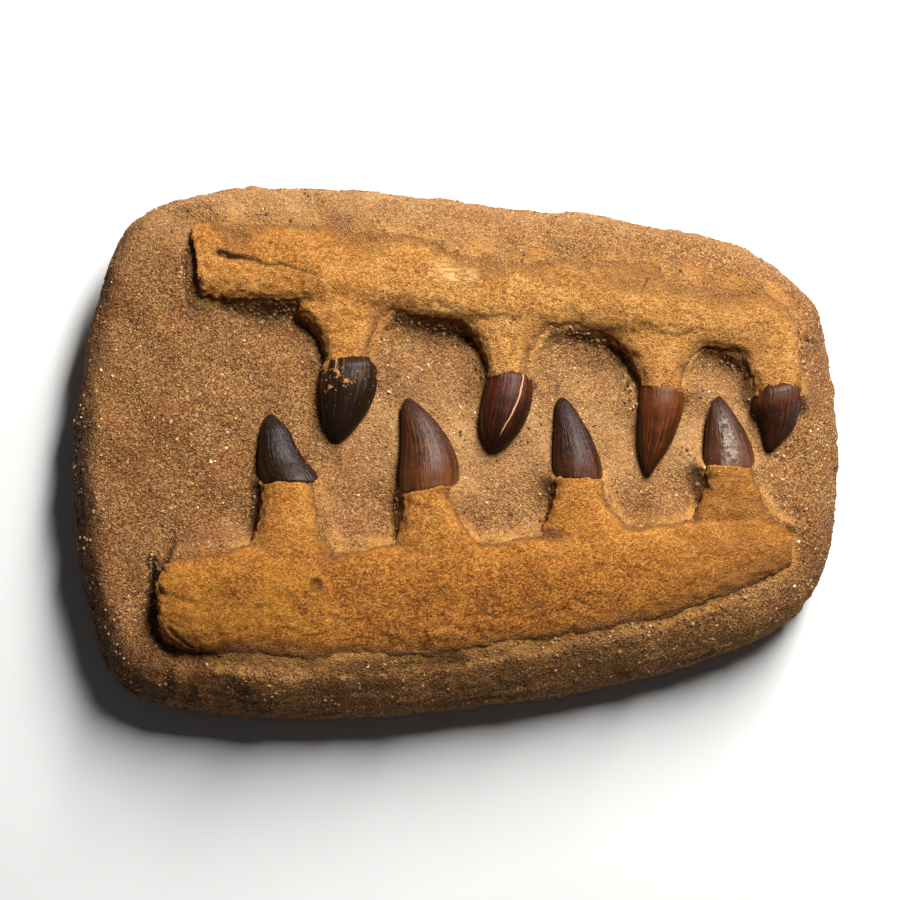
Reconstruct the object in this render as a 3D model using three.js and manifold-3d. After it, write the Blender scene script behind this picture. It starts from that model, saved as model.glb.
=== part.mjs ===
// A fossil mosasaur jaw in its block of sandstone, lying on the block's flat foot. An upper and a
// lower jaw bone are half sunk in the domed top, each with four teeth, and a tooth is a stout root
// that leaves the bone and a crown that bends back towards the throat.
// Millimetres, +Z up. The origin is the middle of the foot. The upper jaw is on the +Y side, the
// throat is towards -X, and the crowns' tips lean that way.
import * as THREE from "three";
import { mergeVertices, toCreasedNormals } from "three/addons/utils/BufferGeometryUtils.js";
import Module from "manifold-3d";

const wasm = await Module();
wasm.setup();

// Space between the sandstone and the bone that lies in it.
const GAP = 0.3;

// The sandstone block. Its outline is the widest line, seen from above.
const BLOCK = {
  outline: [
    [169.7, -6], [168.7, 31], [161, 66], [137, 87], [84, 102.5], [23, 109.5], [-52, 118],
    [-108, 116.5], [-140, 107], [-156, 84], [-167, 33], [-170, -17], [-164, -63], [-147, -104],
    [-106, -116], [-50, -118.25], [2, -114], [64, -105], [123, -88], [151, -72], [164, -49],
  ],
  segments: 88, // points round the outline
  girth: 20, // height of the widest line
  footInset: 5, // how far the foot lies inside it
  shoulder: 17, // width of the rounded shoulder at the two ends
  shoulderLean: 7, // how much wider it is on the lower jaw's side, and narrower on the other
  top: 44.5, // height of the bed that the teeth lie in
  bank: 5.5, // how much higher the bed is behind the upper jaw
  fall: 2.2, // how much lower it is at the two ends
};

// Rings of the block's surface, as a walk from the middle of the foot (0) to the foot's rim (1), up
// the wall to the widest line (2), over the shoulder (3) and in to the middle of the bed (4).
const WALL_RINGS = [0, 1, 1.3, 1.65, 2, 2.25, 2.5, 2.75];
const BED_RINGS = 18; // rings from the shoulder to the middle

// Dips and swells of the bed: [x, y, reach along x, reach along y, rise].
const SWELLS = [
  // hollows under the upper jaw, beside its teeth
  [-76, 52, 20, 10, -4.4], [-5, 48, 16, 8, -4], [66, 38, 10, 12, -3.6], [119, 35, 8, 9, -2.6],
  // sand banked up against the far side of each upper tooth
  [-26, 36, 7, 14, 2], [45, 30, 7, 13, 2], [109, 26, 7, 10, 1.6],
  // hollows and banks beside the lower teeth
  [-97, -34, 9, 14, -2.4], [-34, -31, 8, 12, -2.6], [30, -26, 8, 12, -2.4], [97, -20, 8, 10, -2],
  [-47, -31, 7, 13, 2.4], [12, -31, 7, 13, 2.6], [76, -25, 8, 12, 3], [140, -20, 8, 13, 2.6],
  // furrows on the near side of the upper crowns
  [-64, 16, 6, 15, -2.2], [4, 12, 6, 14, -1.8], [73, 6, 6, 16, -1.8],
  // the hollow behind the lower jaw's end, and broad swells of the bed
  [-141, -70, 10, 24, -3.6], [-110, 12, 34, 26, 1.8], [150, -23, 16, 30, 1],
];

// Long worn waves of the whole surface: [direction as x, y, z, length, rise]. They fade out towards
// the widest line, which keeps the outline, and towards the foot.
const WAVES = [
  [0.9, 0.3, 0.5, 47, 0.4], [-0.4, 0.8, 0.6, 37, 0.35], [0.2, -0.9, 0.9, 29, 0.35],
  [0.8, 0.7, -0.5, 24, 0.3],
];
const WAVE_FADE = 12; // height over which they fade

// Sand leans on the bones. Where it meets a bone it is so far below the crest, and from there it
// falls away, gently towards the block's edge and steeply towards the teeth. Each root has sand
// banked against its +X side, and its other side is dug free.
const LEAN = {
  upper: { side: 1, outer: { below: 2.8, slope: 0.4 }, inner: { below: 4.8, slope: 0.9 } },
  lower: { side: -1, outer: { below: 7, slope: 0.4 }, inner: { below: 5.5, slope: 0.9 } },
  root: { banked: 4, dug: 6.5, slope: 1.3 },
  softness: 5, // how softly it runs out into the bed
};

// Places where the rock is dug away from the bones: [x, y, reach along x, reach along y, depth].
const DUG = [
  [-117, 84, 9, 22, 9], [-92, 55, 26, 7, 9], [-64, 42, 8, 14, 7], [-6, 48, 18, 7, 7],
  [6, 34, 7, 12, 6], [58, 43, 16, 5, 6], [76, 30, 7, 13, 6], [118, 34, 9, 8, 6],
  [-133, -72, 11, 20, 9], [-90, -34, 7, 14, 7], [-30, -33, 7, 14, 6], [36, -28, 6, 12, 5],
  [101, -24, 6, 11, 4], [9, -36, 6, 8, 6.5], [74, -31, 6, 8, 7], [23, -37, 9, 6, 3], [-120, -93, 12, 8, 6],
];

// Each jaw has stations along x, each with the bone's two edges and the height of its crest.
const JAWS = {
  upper: {
    stations: [
      [-114, 100, 65, 54], [-100, 101.5, 62.5, 55], [-72, 101.5, 61, 56.4], [-40, 99.5, 58.5, 57.2],
      [-8, 95, 52.5, 57.4], [28, 89.5, 49.5, 57], [62, 86, 47, 56.6], [98, 81, 42, 56.4],
      [126, 74, 37.5, 55.6], [142, 65.5, 35, 54.2], [150, 56, 36, 52],
    ],
    waist: 45, // height at which the bone is widest
    keel: 36, // its lowest line, deep in the block
    tilt: -2.6, // how much higher its +Y edge lies than the -Y one
    broken: 2.4, // how ragged its end towards the throat is
  },
  lower: {
    stations: [
      [-127, -57, -82, 57], [-121, -51, -89.5, 59.4], [-97, -46, -95.5, 60.4], [-55, -45, -99, 60],
      [-11, -44, -96.5, 59], [32, -41, -90, 57.8], [80, -35.5, -81, 56], [112, -33.5, -70, 53.6],
      [132, -33.5, -61, 50.8], [145, -38, -53, 47.6],
    ],
    waist: 43,
    keel: 34,
    tilt: 1.6,
    broken: 1.2,
  },
};
const BONE = { sides: 18, step: 9, sideFullness: 0.72, topFullness: 0.66 };

// Each tooth. A crown has the middle of its base, its tip, its width at the base, the sideways bow
// of its axis, the two powers by which it tapers and the slant of its base in degrees. The root
// under it has its width there and, where it leaves the bone, its two edges, their y and its top.
const TEETH = [
  { jaw: "upper", base: [-46.4, 32.1], tip: [-51.9, 0.8], width: 24.4, bow: 2.6, taper: [2.6, 0.62],
    slant: 5, root: 21, neck: [-71, -25, 58, 55.8] },
  { jaw: "upper", base: [23.3, 27.2], tip: [17.2, -3.2], width: 20.4, bow: 2.4, taper: [2.6, 0.62],
    slant: -6, root: 20, neck: [1, 47, 53, 55.8] },
  { jaw: "upper", base: [89.8, 21.9], tip: [83.5, -14.2], width: 19, bow: 2.6, taper: [2, 0.82],
    slant: -9, root: 19.6, neck: [66, 117, 46, 55.4] },
  { jaw: "upper", base: [140.7, 19.2], tip: [136.4, -3.2], width: 21.8, bow: 2, taper: [1.5, 0.9],
    slant: 13, root: 22, neck: [119, 152, 42, 54.6] },
  { jaw: "lower", base: [-71.1, -18.7], tip: [-81.6, 11.8], width: 27, bow: -1.4, taper: [0.9, 0.62],
    slant: 0, root: 26.8, neck: [-91, -43, -51, 58.6] },
  { jaw: "lower", base: [-11, -22.2], tip: [-22, 19.4], width: 26.2, bow: 3.2, taper: [2.2, 0.8],
    slant: 8, root: 25.6, neck: [-28, 13, -47, 57.4] },
  { jaw: "lower", base: [53.8, -16.9], tip: [45.6, 19.4], width: 21.4, bow: 2.8, taper: [2, 0.78],
    slant: -2, root: 23, neck: [34, 83, -42, 56] },
  { jaw: "lower", base: [118.7, -11.6], tip: [114.5, 19.8], width: 22, bow: 1.2, taper: [1.5, 0.85],
    slant: -3, root: 23.4, neck: [100, 145, -36, 52.4] },
];
const CROWN = {
  axis: 46.6, // height of its axis
  tipRise: 0.8, // how much higher its tip is
  thickness: 0.84, // its thickness over its width
  edge: 0.07, // how far its two cutting edges stand out
  sunk: 4, // how deep it sits in its root
  sides: 16,
  rings: 9,
};
const ROOT = {
  axis: 46,
  thickness: 0.9, // thickness over width under the crown
  flare: 2.3, // power by which it widens towards the bone
  fullness: 0.82, // squareness of its section
  buried: 13, // how deep it reaches into the bone
  sides: 14,
  rings: 5,
};

// Faces that meet at less than this angle are shaded as one smooth surface.
const CREASE = 0.6;

// Colours of the sandstone and of the bone, both dull.
const SANDSTONE = { color: 0xa8763f, roughness: 0.96, metalness: 0 };
const FOSSIL_BONE = { color: 0xc8843a, roughness: 0.86, metalness: 0 };

const { cos, sin, abs, sign, round, hypot, exp, sqrt, max, min, PI } = Math;
const { lerp, clamp, smoothstep, degToRad } = THREE.MathUtils;

// The block

const rim = new THREE.CatmullRomCurve3(
  BLOCK.outline.map(([x, y]) => new THREE.Vector3(x, y, 0)),
  true,
  "centripetal",
);

// The sum of round rises and hollows at a place seen from above.
const mounds = (list, x, y) =>
  list.reduce(
    (sum, [cx, cy, rx, ry, rise]) => sum + rise * exp(-(((x - cx) / rx) ** 2) - ((y - cy) / ry) ** 2),
    0,
  );

// A jaw bone's high edge, low edge and crest at one x, straight from station to station.
function edgesAt({ stations }, x) {
  const next = stations.findIndex((row) => row[0] > x);
  const k = next < 0 ? stations.length - 1 : max(next, 1);
  const [near, far] = [stations[k - 1], stations[k]];
  const share = clamp((x - near[0]) / (far[0] - near[0]), 0, 1);
  return [1, 2, 3].map((column) => lerp(near[column], far[column], share));
}

// Height of the sand that leans on a jaw bone.
function leanOnBone(jaw, { side, outer, inner }, x, y) {
  const [high, low, crest] = edgesAt(jaw, x);
  const { below, slope } = (y - (high + low) / 2) * side > 0 ? outer : inner;
  const beyond = max(jaw.stations[0][0] - x, x - jaw.stations.at(-1)[0], 0);
  return crest - below - slope * hypot(beyond, max(y - high, low - y, 0));
}

// Height of the sand that leans on the root of a tooth.
function leanOnRoot(tooth, x, y) {
  const share = clamp((y - tooth.neck[2]) / (tooth.base[1] - tooth.neck[2]), 0, 1);
  const { centre, half, top } = rootSection(tooth, share);
  const { down } = toothFrame(tooth);
  const past = max((y - tooth.base[1]) * down, (tooth.neck[2] - y) * down, 0);
  const below = x > centre ? LEAN.root.banked : LEAN.root.dug;
  return top - below - LEAN.root.slope * hypot(max(abs(x - centre) - half, 0), past);
}

// Height of the bed at a place seen from above.
function bedHeight(x, y) {
  const plain = BLOCK.top + BLOCK.bank * smoothstep(y, 32, 90) - BLOCK.fall * (x / 170) ** 2;
  const bed = plain + mounds(SWELLS, x, y);
  const leaning = [
    ...Object.keys(JAWS).map((name) => leanOnBone(JAWS[name], LEAN[name], x, y)),
    ...TEETH.map((tooth) => leanOnRoot(tooth, x, y)),
  ];
  const over = max(...leaning) - mounds(DUG, x, y) - bed;
  return bed + (over + sqrt(over ** 2 + LEAN.softness)) / 2;
}

// How far the worn waves push the surface out at a place.
const waves = (x, y, z) =>
  WAVES.reduce((sum, [dx, dy, dz, length, rise]) =>
    sum + rise * sin((2 * PI * (x * dx + y * dy + z * dz)) / length), 0);

// The point of the block's surface on one ring, in the direction of one point of the rim.
function blockPoint(rimPoint, ring) {
  const radius = rimPoint.length();
  const [dx, dy] = [rimPoint.x / radius, rimPoint.y / radius];
  const foot = radius - BLOCK.footInset;
  const shoulder = BLOCK.shoulder - BLOCK.shoulderLean * dy;
  if (ring <= 1) return [dx * foot * ring, dy * foot * ring, 0];
  const turn = (clamp(ring - 2, 0, 1) * PI) / 2;
  const down = max(2 - ring, 0);
  const r = (radius - BLOCK.footInset * down ** 2 - shoulder * (1 - cos(turn))) * min(4 - ring, 1);
  const [x, y] = [dx * r, dy * r];
  const z = ring < 2 ? BLOCK.girth * (1 - down) : lerp(BLOCK.girth, bedHeight(x, y), sin(turn));
  const push = waves(x, y, z) * min(abs(z - BLOCK.girth) / WAVE_FADE, z / WAVE_FADE, 1);
  return [x + push * dx * cos(turn), y + push * dy * cos(turn), z + push * sin(turn)];
}

function blockGeometry() {
  const bedRings = Array.from({ length: BED_RINGS + 1 }, (_, k) => 3 + k / BED_RINGS);
  const rings = [...WALL_RINGS, ...bedRings];
  const profile = rings.map((ring) => new THREE.Vector2(ring % 4 === 0 ? 0 : 1, ring));
  const geometry = new THREE.LatheGeometry(profile, BLOCK.segments);
  const { position, uv } = geometry.attributes;
  for (let i = 0; i < position.count; i++) {
    const rimPoint = rim.getPointAt(round(uv.getX(i) * BLOCK.segments) / BLOCK.segments);
    position.setXYZ(i, ...blockPoint(rimPoint, position.getY(i)));
  }
  return geometry;
}

// Lofts: a closed skin through rings of points, used for bones, roots and crowns

function loftGeometry(rings) {
  const sides = rings[0].length;
  const last = (rings.length - 1) * sides;
  const middle = (ring) => ring.reduce((sum, p) => sum.add(p), new THREE.Vector3()).divideScalar(sides);
  const points = [...rings.flat(), middle(rings[0]), middle(rings.at(-1))];
  const [startCap, endCap] = [points.length - 2, points.length - 1];
  const faces = [];
  for (let i = 0; i < sides; i++) {
    const j = (i + 1) % sides;
    for (let low = 0; low < last; low += sides) {
      const high = low + sides;
      faces.push(low + i, low + j, high + j, low + i, high + j, high + i);
    }
    faces.push(startCap, j, i, endCap, last + i, last + j);
  }
  return new THREE.BufferGeometry().setFromPoints(points).setIndex(faces);
}

// The angles of a ring of so many sides.
const turns = (sides) => Array.from({ length: sides }, (_, i) => (i / sides) * 2 * PI);

// A sine or cosine made fuller, which squares off the ring that it draws.
const fuller = (value, fullness) => sign(value) * abs(value) ** fullness;

// A jaw bone without its teeth, made larger all round by grow.
function boneGeometry({ stations, waist, keel, tilt, broken }, grow) {
  const line = (k) => new THREE.SplineCurve(stations.map((row) => new THREE.Vector2(row[0], row[k])));
  const [highEdge, lowEdge, crest] = [line(1), line(2), line(3)];
  const steps = round((stations.at(-1)[0] - stations[0][0]) / BONE.step);
  const rings = [];
  for (let k = 0; k <= steps; k++) {
    const { x, y: high } = highEdge.getPoint(k / steps);
    const low = lowEdge.getPoint(k / steps).y;
    const top = crest.getPoint(k / steps).y;
    const ends = k === 0 ? -2 * grow : k === steps ? grow : 0;
    rings.push(
      turns(BONE.sides).map((a) => {
        const across = fuller(cos(a), BONE.sideFullness);
        const up = fuller(sin(a), BONE.topFullness);
        const ragged = k === 0 ? broken * (sin(3 * a + 1) + 0.5 * sin(5 * a)) : 0;
        const reach = (up > 0 ? top - waist : waist - keel) + grow;
        return new THREE.Vector3(
          x + ends + ragged,
          (high + low) / 2 + ((high - low) / 2 + grow) * across,
          waist + reach * up + tilt * across * max(up, 0),
        );
      }),
    );
  }
  return loftGeometry(rings);
}

// A tooth's own directions, seen from above: across its base, and out along it from the bone.
function toothFrame({ base, tip, slant }) {
  const down = sign(tip[1] - base[1]);
  const across = new THREE.Vector2(cos(degToRad(slant)), sin(degToRad(slant)));
  return { down, across, out: new THREE.Vector2(-across.y * down, across.x * down) };
}

// Rings run one way round for the teeth that point to +Y and the other way for the rest.
const faceOut = (ring, down) => (down > 0 ? ring.reverse() : ring);

// A crown: a cone bent sideways, with a cutting edge on each side.
function crownGeometry(tooth, grow) {
  const { down, across, out } = toothFrame(tooth);
  const base = new THREE.Vector2(...tooth.base);
  const tip = new THREE.Vector2(...tooth.tip).addScaledVector(out, grow);
  const control = base.clone().lerp(tip, 0.5).add(new THREE.Vector2(2 * tooth.bow, 0));
  const axis = new THREE.QuadraticBezierCurve(base, control, tip);
  const [power, slimness] = tooth.taper;
  const ringAt = (t, sunk) => {
    const centre = axis.getPoint(t).addScaledVector(out, -sunk);
    const ahead = axis.getTangent(t);
    const square = new THREE.Vector2(ahead.y, -ahead.x).multiplyScalar(down);
    const side = across.clone().lerp(square, min(1, 2 * t)).normalize();
    const half = (tooth.width / 2) * (1 - t ** power) ** slimness * (sunk ? 0.86 : 1);
    const ring = turns(CROWN.sides).map((a) => {
      const along = (half * (1 + CROWN.edge * abs(cos(a)) ** 6) + grow) * cos(a);
      return new THREE.Vector3(
        centre.x + side.x * along,
        centre.y + side.y * along,
        CROWN.axis + CROWN.tipRise * t + (half * CROWN.thickness + grow) * sin(a),
      );
    });
    return faceOut(ring, down);
  };
  const rings = [ringAt(0, CROWN.sunk + grow)];
  for (let k = 0; k < CROWN.rings; k++) {
    rings.push(ringAt(0.985 * sin(((k / (CROWN.rings - 1)) * PI) / 2) ** 1.15, 0));
  }
  return loftGeometry(rings);
}

// A root's middle, half width and top at a share of its length, from the bone (0) to the crown (1).
function rootSection({ base, root, neck: [left, right, , top] }, share) {
  const sweep = (1 - share) ** ROOT.flare;
  return {
    centre: lerp(base[0], (left + right) / 2, sweep),
    half: lerp(root, right - left, sweep) / 2,
    top: lerp(top, ROOT.axis + (root / 2) * ROOT.thickness, share ** 1.5),
  };
}

// A root: a stump that narrows from the bone to its crown in a concave sweep.
function rootGeometry(tooth, grow) {
  const { down, across, out } = toothFrame(tooth);
  const ringAt = (t, narrowed, buried) => {
    const { centre, half, top } = rootSection(tooth, t);
    const y = lerp(tooth.neck[2], tooth.base[1] + out.y * grow, t) - down * buried;
    const side = new THREE.Vector2(1, 0).lerp(across, t ** 2).normalize();
    const ring = turns(ROOT.sides).map((a) => {
      const along = (half * narrowed + grow) * fuller(cos(a), ROOT.fullness);
      return new THREE.Vector3(
        centre + side.x * along,
        y + side.y * along,
        ROOT.axis + (top - ROOT.axis + grow) * fuller(sin(a), ROOT.fullness),
      );
    });
    return faceOut(ring, down);
  };
  const rings = [ringAt(0, 0.6, ROOT.buried + grow)];
  for (let k = 0; k < ROOT.rings; k++) rings.push(ringAt(k / (ROOT.rings - 1), 1, 0));
  return loftGeometry(rings);
}

// Solids

function solidOf(geometry) {
  const bare = new THREE.BufferGeometry()
    .setAttribute("position", geometry.attributes.position)
    .setIndex(geometry.index);
  const merged = mergeVertices(bare, 1e-3);
  return new wasm.Manifold(
    new wasm.Mesh({
      numProp: 3,
      vertProperties: merged.attributes.position.array,
      triVerts: new Uint32Array(merged.index.array),
    }),
  );
}

function geometryOf(solid) {
  const { vertProperties, triVerts } = solid.getMesh();
  const geometry = new THREE.BufferGeometry()
    .setAttribute("position", new THREE.BufferAttribute(new Float32Array(vertProperties), 3))
    .setIndex(new THREE.BufferAttribute(new Uint32Array(triVerts), 1));
  return toCreasedNormals(geometry, CREASE);
}

// A jaw bone with the four teeth that grow from it, fused one by one.
function jawSolid(name, grow = 0) {
  return TEETH.filter(({ jaw }) => jaw === name)
    .flatMap((tooth) => [rootGeometry(tooth, grow), crownGeometry(tooth, grow)])
    .reduce((jaw, piece) => jaw.add(solidOf(piece)), solidOf(boneGeometry(JAWS[name], grow)));
}

// A mesh of the largest closed body of a solid.
function meshOf(name, solid, finish) {
  const body = solid.decompose().sort((a, b) => b.volume() - a.volume())[0];
  const mesh = new THREE.Mesh(geometryOf(body), new THREE.MeshStandardMaterial(finish));
  mesh.name = name;
  return mesh;
}

const block = Object.keys(JAWS).reduce(
  (stone, name) => stone.subtract(jawSolid(name, GAP)),
  solidOf(blockGeometry()),
);

const fossil = new THREE.Group();
fossil.name = "fossil_mosasaur_jaw";
fossil.add(meshOf("sandstone_block", block, SANDSTONE));
fossil.add(meshOf("upper_jaw", jawSolid("upper"), FOSSIL_BONE));
fossil.add(meshOf("lower_jaw", jawSolid("lower"), FOSSIL_BONE));

export default fossil;
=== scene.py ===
# %% [markdown]
# A fossil jaw in its sandstone, dressed for a photograph.
#
# The real object is a block of soft, sandy rock. An upper and a lower jaw of a large sea lizard lie
# half sunk in it, each with four teeth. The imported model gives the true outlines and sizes. This
# lesson lays the looks over it: worn stone, cracked ochre bone, and dark glossy tooth crowns.
# All sizes that stand for the object are in millimetres here, and Blender's own are in metres.

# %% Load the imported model
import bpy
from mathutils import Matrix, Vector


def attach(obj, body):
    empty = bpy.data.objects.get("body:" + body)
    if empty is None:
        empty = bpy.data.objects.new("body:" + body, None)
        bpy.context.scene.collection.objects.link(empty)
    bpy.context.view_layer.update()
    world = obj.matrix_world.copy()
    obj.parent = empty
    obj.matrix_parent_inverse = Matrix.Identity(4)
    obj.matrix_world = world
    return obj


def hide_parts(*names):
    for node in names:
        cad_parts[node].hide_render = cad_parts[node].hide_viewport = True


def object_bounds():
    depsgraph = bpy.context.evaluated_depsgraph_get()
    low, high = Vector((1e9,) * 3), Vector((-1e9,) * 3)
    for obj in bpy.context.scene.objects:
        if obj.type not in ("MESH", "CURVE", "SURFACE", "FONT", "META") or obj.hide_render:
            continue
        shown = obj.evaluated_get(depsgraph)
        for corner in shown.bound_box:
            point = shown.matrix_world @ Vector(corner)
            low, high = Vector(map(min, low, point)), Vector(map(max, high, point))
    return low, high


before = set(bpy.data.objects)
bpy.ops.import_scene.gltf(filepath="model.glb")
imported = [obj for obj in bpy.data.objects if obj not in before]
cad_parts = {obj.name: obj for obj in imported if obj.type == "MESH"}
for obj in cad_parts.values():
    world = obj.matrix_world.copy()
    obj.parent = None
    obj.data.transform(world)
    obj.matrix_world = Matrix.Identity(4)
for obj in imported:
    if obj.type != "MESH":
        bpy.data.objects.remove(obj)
cad_low, cad_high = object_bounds()
print("packed model, from", tuple(cad_low), "to", tuple(cad_high))

# %% Other tools
import math

import bpy
import numpy as np
from mathutils import Matrix, Vector, noise
from mathutils.bvhtree import BVHTree

MM = 0.001
chance = np.random.default_rng(68)

# %% [markdown]
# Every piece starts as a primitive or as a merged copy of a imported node, and an operator acts on all
# that is selected. So a helper first deselects everything and then picks the one piece to work on.

# %% Helpers for handling a piece
def work_on(piece):
    """Makes this piece the only selected one, in object mode."""
    if bpy.context.object and bpy.context.object.mode != "OBJECT":
        bpy.ops.object.mode_set(mode="OBJECT")
    bpy.ops.object.select_all(action="DESELECT")
    piece.select_set(True)
    bpy.context.view_layer.objects.active = piece


def edit(piece, *steps):
    """Runs edit-mode steps with the whole piece selected."""
    work_on(piece)
    bpy.ops.object.mode_set(mode="EDIT")
    bpy.ops.mesh.select_all(action="SELECT")
    for step in steps:
        step()
    bpy.ops.object.mode_set(mode="OBJECT")


def modify(piece, kind, **settings):
    """Adds a modifier, sets it and applies it."""
    work_on(piece)
    bpy.ops.object.modifier_add(type=kind)
    modifier = piece.modifiers[-1]
    for key, value in settings.items():
        setattr(modifier, key, value)
    bpy.ops.object.modifier_apply(modifier=modifier.name)


def named(name):
    """Names the primitive that was just added, and puts its place in its mesh."""
    piece = bpy.context.object
    piece.name = name
    piece.data.name = name
    bpy.ops.object.transform_apply(location=True, rotation=True, scale=True)
    return piece


def placed(name, data):
    """A new object in the scene, which shows this mesh, lamp or camera."""
    data.name = name
    piece = bpy.data.objects.new(name, data)
    bpy.context.scene.collection.objects.link(piece)
    return piece


def copy_of_node(node, name):
    """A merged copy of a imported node, free to be shaped."""
    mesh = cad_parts[node].data.copy()
    mesh.materials.clear()
    piece = placed(name, mesh)
    edit(piece, lambda: bpy.ops.mesh.remove_doubles(threshold=1e-6))
    return piece


# %% Helpers for reading and moving vertices, in millimetres
def points_of(piece):
    flat = np.zeros(len(piece.data.vertices) * 3, np.float32)
    piece.data.vertices.foreach_get("co", flat)
    return flat.reshape(-1, 3).astype(float) / MM


def normals_of(piece):
    flat = np.zeros(len(piece.data.vertices) * 3, np.float32)
    piece.data.vertices.foreach_get("normal", flat)
    return flat.reshape(-1, 3).astype(float)


def move_points(piece, points):
    piece.data.vertices.foreach_set("co", (points * MM).astype(np.float32).ravel())
    piece.data.update()


def keep_values(piece, name, values):
    """Stores one number for each vertex, which a finish can read by this name."""
    attribute = piece.data.attributes.new(name, "FLOAT", "POINT")
    attribute.data.foreach_set("value", np.clip(values, 0, 1).astype(np.float32))


def smoothstep(values, low, high):
    t = np.clip((values - low) / (high - low), 0, 1)
    return t * t * (3 - 2 * t)


def bell(values, middle, reach):
    """1 in the middle, fading to nothing on both sides."""
    return np.exp(-(((values - middle) / reach) ** 2))


def lumps(points, size, stretch=(1, 1, 1), octaves=3, seed=0):
    """Smooth random lumps of about this size, from about -1 to 1, at each point."""
    scaled = points / (np.array(stretch) * size) + seed * 13.7
    return np.array([noise.fractal(Vector(p), 1.0, 2.1, octaves) for p in scaled])


def surface_of(piece):
    """A search tree of the piece's surface, in millimetres."""
    points = points_of(piece)
    faces = [tuple(p.vertices) for p in piece.data.polygons]
    return BVHTree.FromPolygons(points.tolist(), faces)


def distance_to(tree, points, reach):
    """How far each point is from a surface, up to reach, and on which side: positive is outside."""
    found = np.full(len(points), float(reach))
    for i, point in enumerate(points):
        place, normal, _, distance = tree.find_nearest(Vector(point), reach)
        if place is not None:
            outside = (Vector(point) - place).dot(normal) >= 0
            found[i] = distance if outside else -distance
    return found


# %% [markdown]
# Cracks, flake edges and pits are cut as with a sculpting brush. Each stroke follows a few points
# seen from above, and only moves what faces up, so the flanks keep their shape. What a stroke cuts
# is also kept as a dark value: painted shade, which the finishes lay in the cut.

# %% Strokes
def beside(points, path):
    """Distance to a line seen from above, the side (positive is left) and the share along it."""
    path = np.array(path, float)
    starts, steps = path[:-1], np.diff(path, axis=0)
    from_start = points[:, None, :2] - starts
    share = np.clip((from_start * steps).sum(2) / (steps**2).sum(1), 0, 1)
    gap = np.linalg.norm(from_start - share[..., None] * steps, axis=2)
    nearest = gap.argmin(1)
    rows = np.arange(len(points))
    offset = from_start[rows, nearest]
    step = steps[nearest]
    side = np.sign(step[:, 0] * offset[:, 1] - step[:, 1] * offset[:, 0])
    return gap[rows, nearest], side, (nearest + share[rows, nearest]) / len(steps)


class Sculpt:
    """The vertices of one piece while strokes are made on it."""

    def __init__(self, piece):
        self.piece = piece
        self.points = points_of(piece)
        self.up = np.clip(normals_of(piece)[:, 2] * 2, 0, 1)
        # painted shade: how much darker each vertex is drawn where a stroke cuts in
        self.dark = np.zeros(len(self.points))

    def crack(self, path, width, depth, end=0.3, wander=0.5, dark=1.0):
        """A crack that gets narrower towards its end."""
        shaken = self.points + wander * lumps(self.points, 4, seed=5)[:, None]
        gap, _, share = beside(shaken, path)
        wide = width * (1 - (1 - end) * share)
        cut = np.clip(1 - gap / wide, 0, 1) ** 0.8 * self.up
        self.points[:, 2] -= depth * (1 - (1 - end) * share) * cut
        self.dark = np.maximum(self.dark, dark * cut)

    def ledge(self, path, drop, reach, wander=0.8, dark=0.5):
        """A flake edge: the ground on the right-hand side of the path is lower."""
        shaken = self.points + wander * lumps(self.points, 3.5, seed=8)[:, None]
        gap, side, share = beside(shaken, path)
        ends = smoothstep(share, 0, 0.12) * smoothstep(1 - share, 0, 0.12)
        lower = np.where(side < 0, np.exp(-gap / reach), 0) * self.up * ends
        self.points[:, 2] -= drop * lower * smoothstep(gap, 0, 0.9)
        self.dark = np.maximum(self.dark, dark * lower * np.exp(-gap / 1.2))

    def swell(self, place, reach, rise, turn=0.0):
        """A broad rise, or a hollow where rise is negative."""
        offset = self.points[:, :2] - np.array(place, float)
        c, s = math.cos(math.radians(turn)), math.sin(math.radians(turn))
        along = (offset[:, 0] * c + offset[:, 1] * s) / reach[0]
        across = (-offset[:, 0] * s + offset[:, 1] * c) / reach[1]
        self.points[:, 2] += rise * np.exp(-(along**2) - across**2) * self.up

    def pit(self, place, radius, depth, lip=0.0, dark=0.45):
        """A round pit, with a raised lip if wanted."""
        gap = np.linalg.norm(self.points[:, :2] - np.array(place, float), axis=1) / radius
        bowl = np.clip(1 - gap**2, 0, 1) * self.up
        self.points[:, 2] += (lip * np.exp(-(((gap - 1.1) / 0.3) ** 2)) - depth * bowl) * self.up
        self.dark = np.maximum(self.dark, dark * smoothstep(bowl, 0.1, 0.6))

    def done(self):
        move_points(self.piece, self.points)


# %% [markdown]
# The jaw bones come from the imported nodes. Their crowns are cut away at the base, because the fine
# crowns are pieces of their own. A voxel remesh then gives even, fine faces that can be sculpted.

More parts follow.
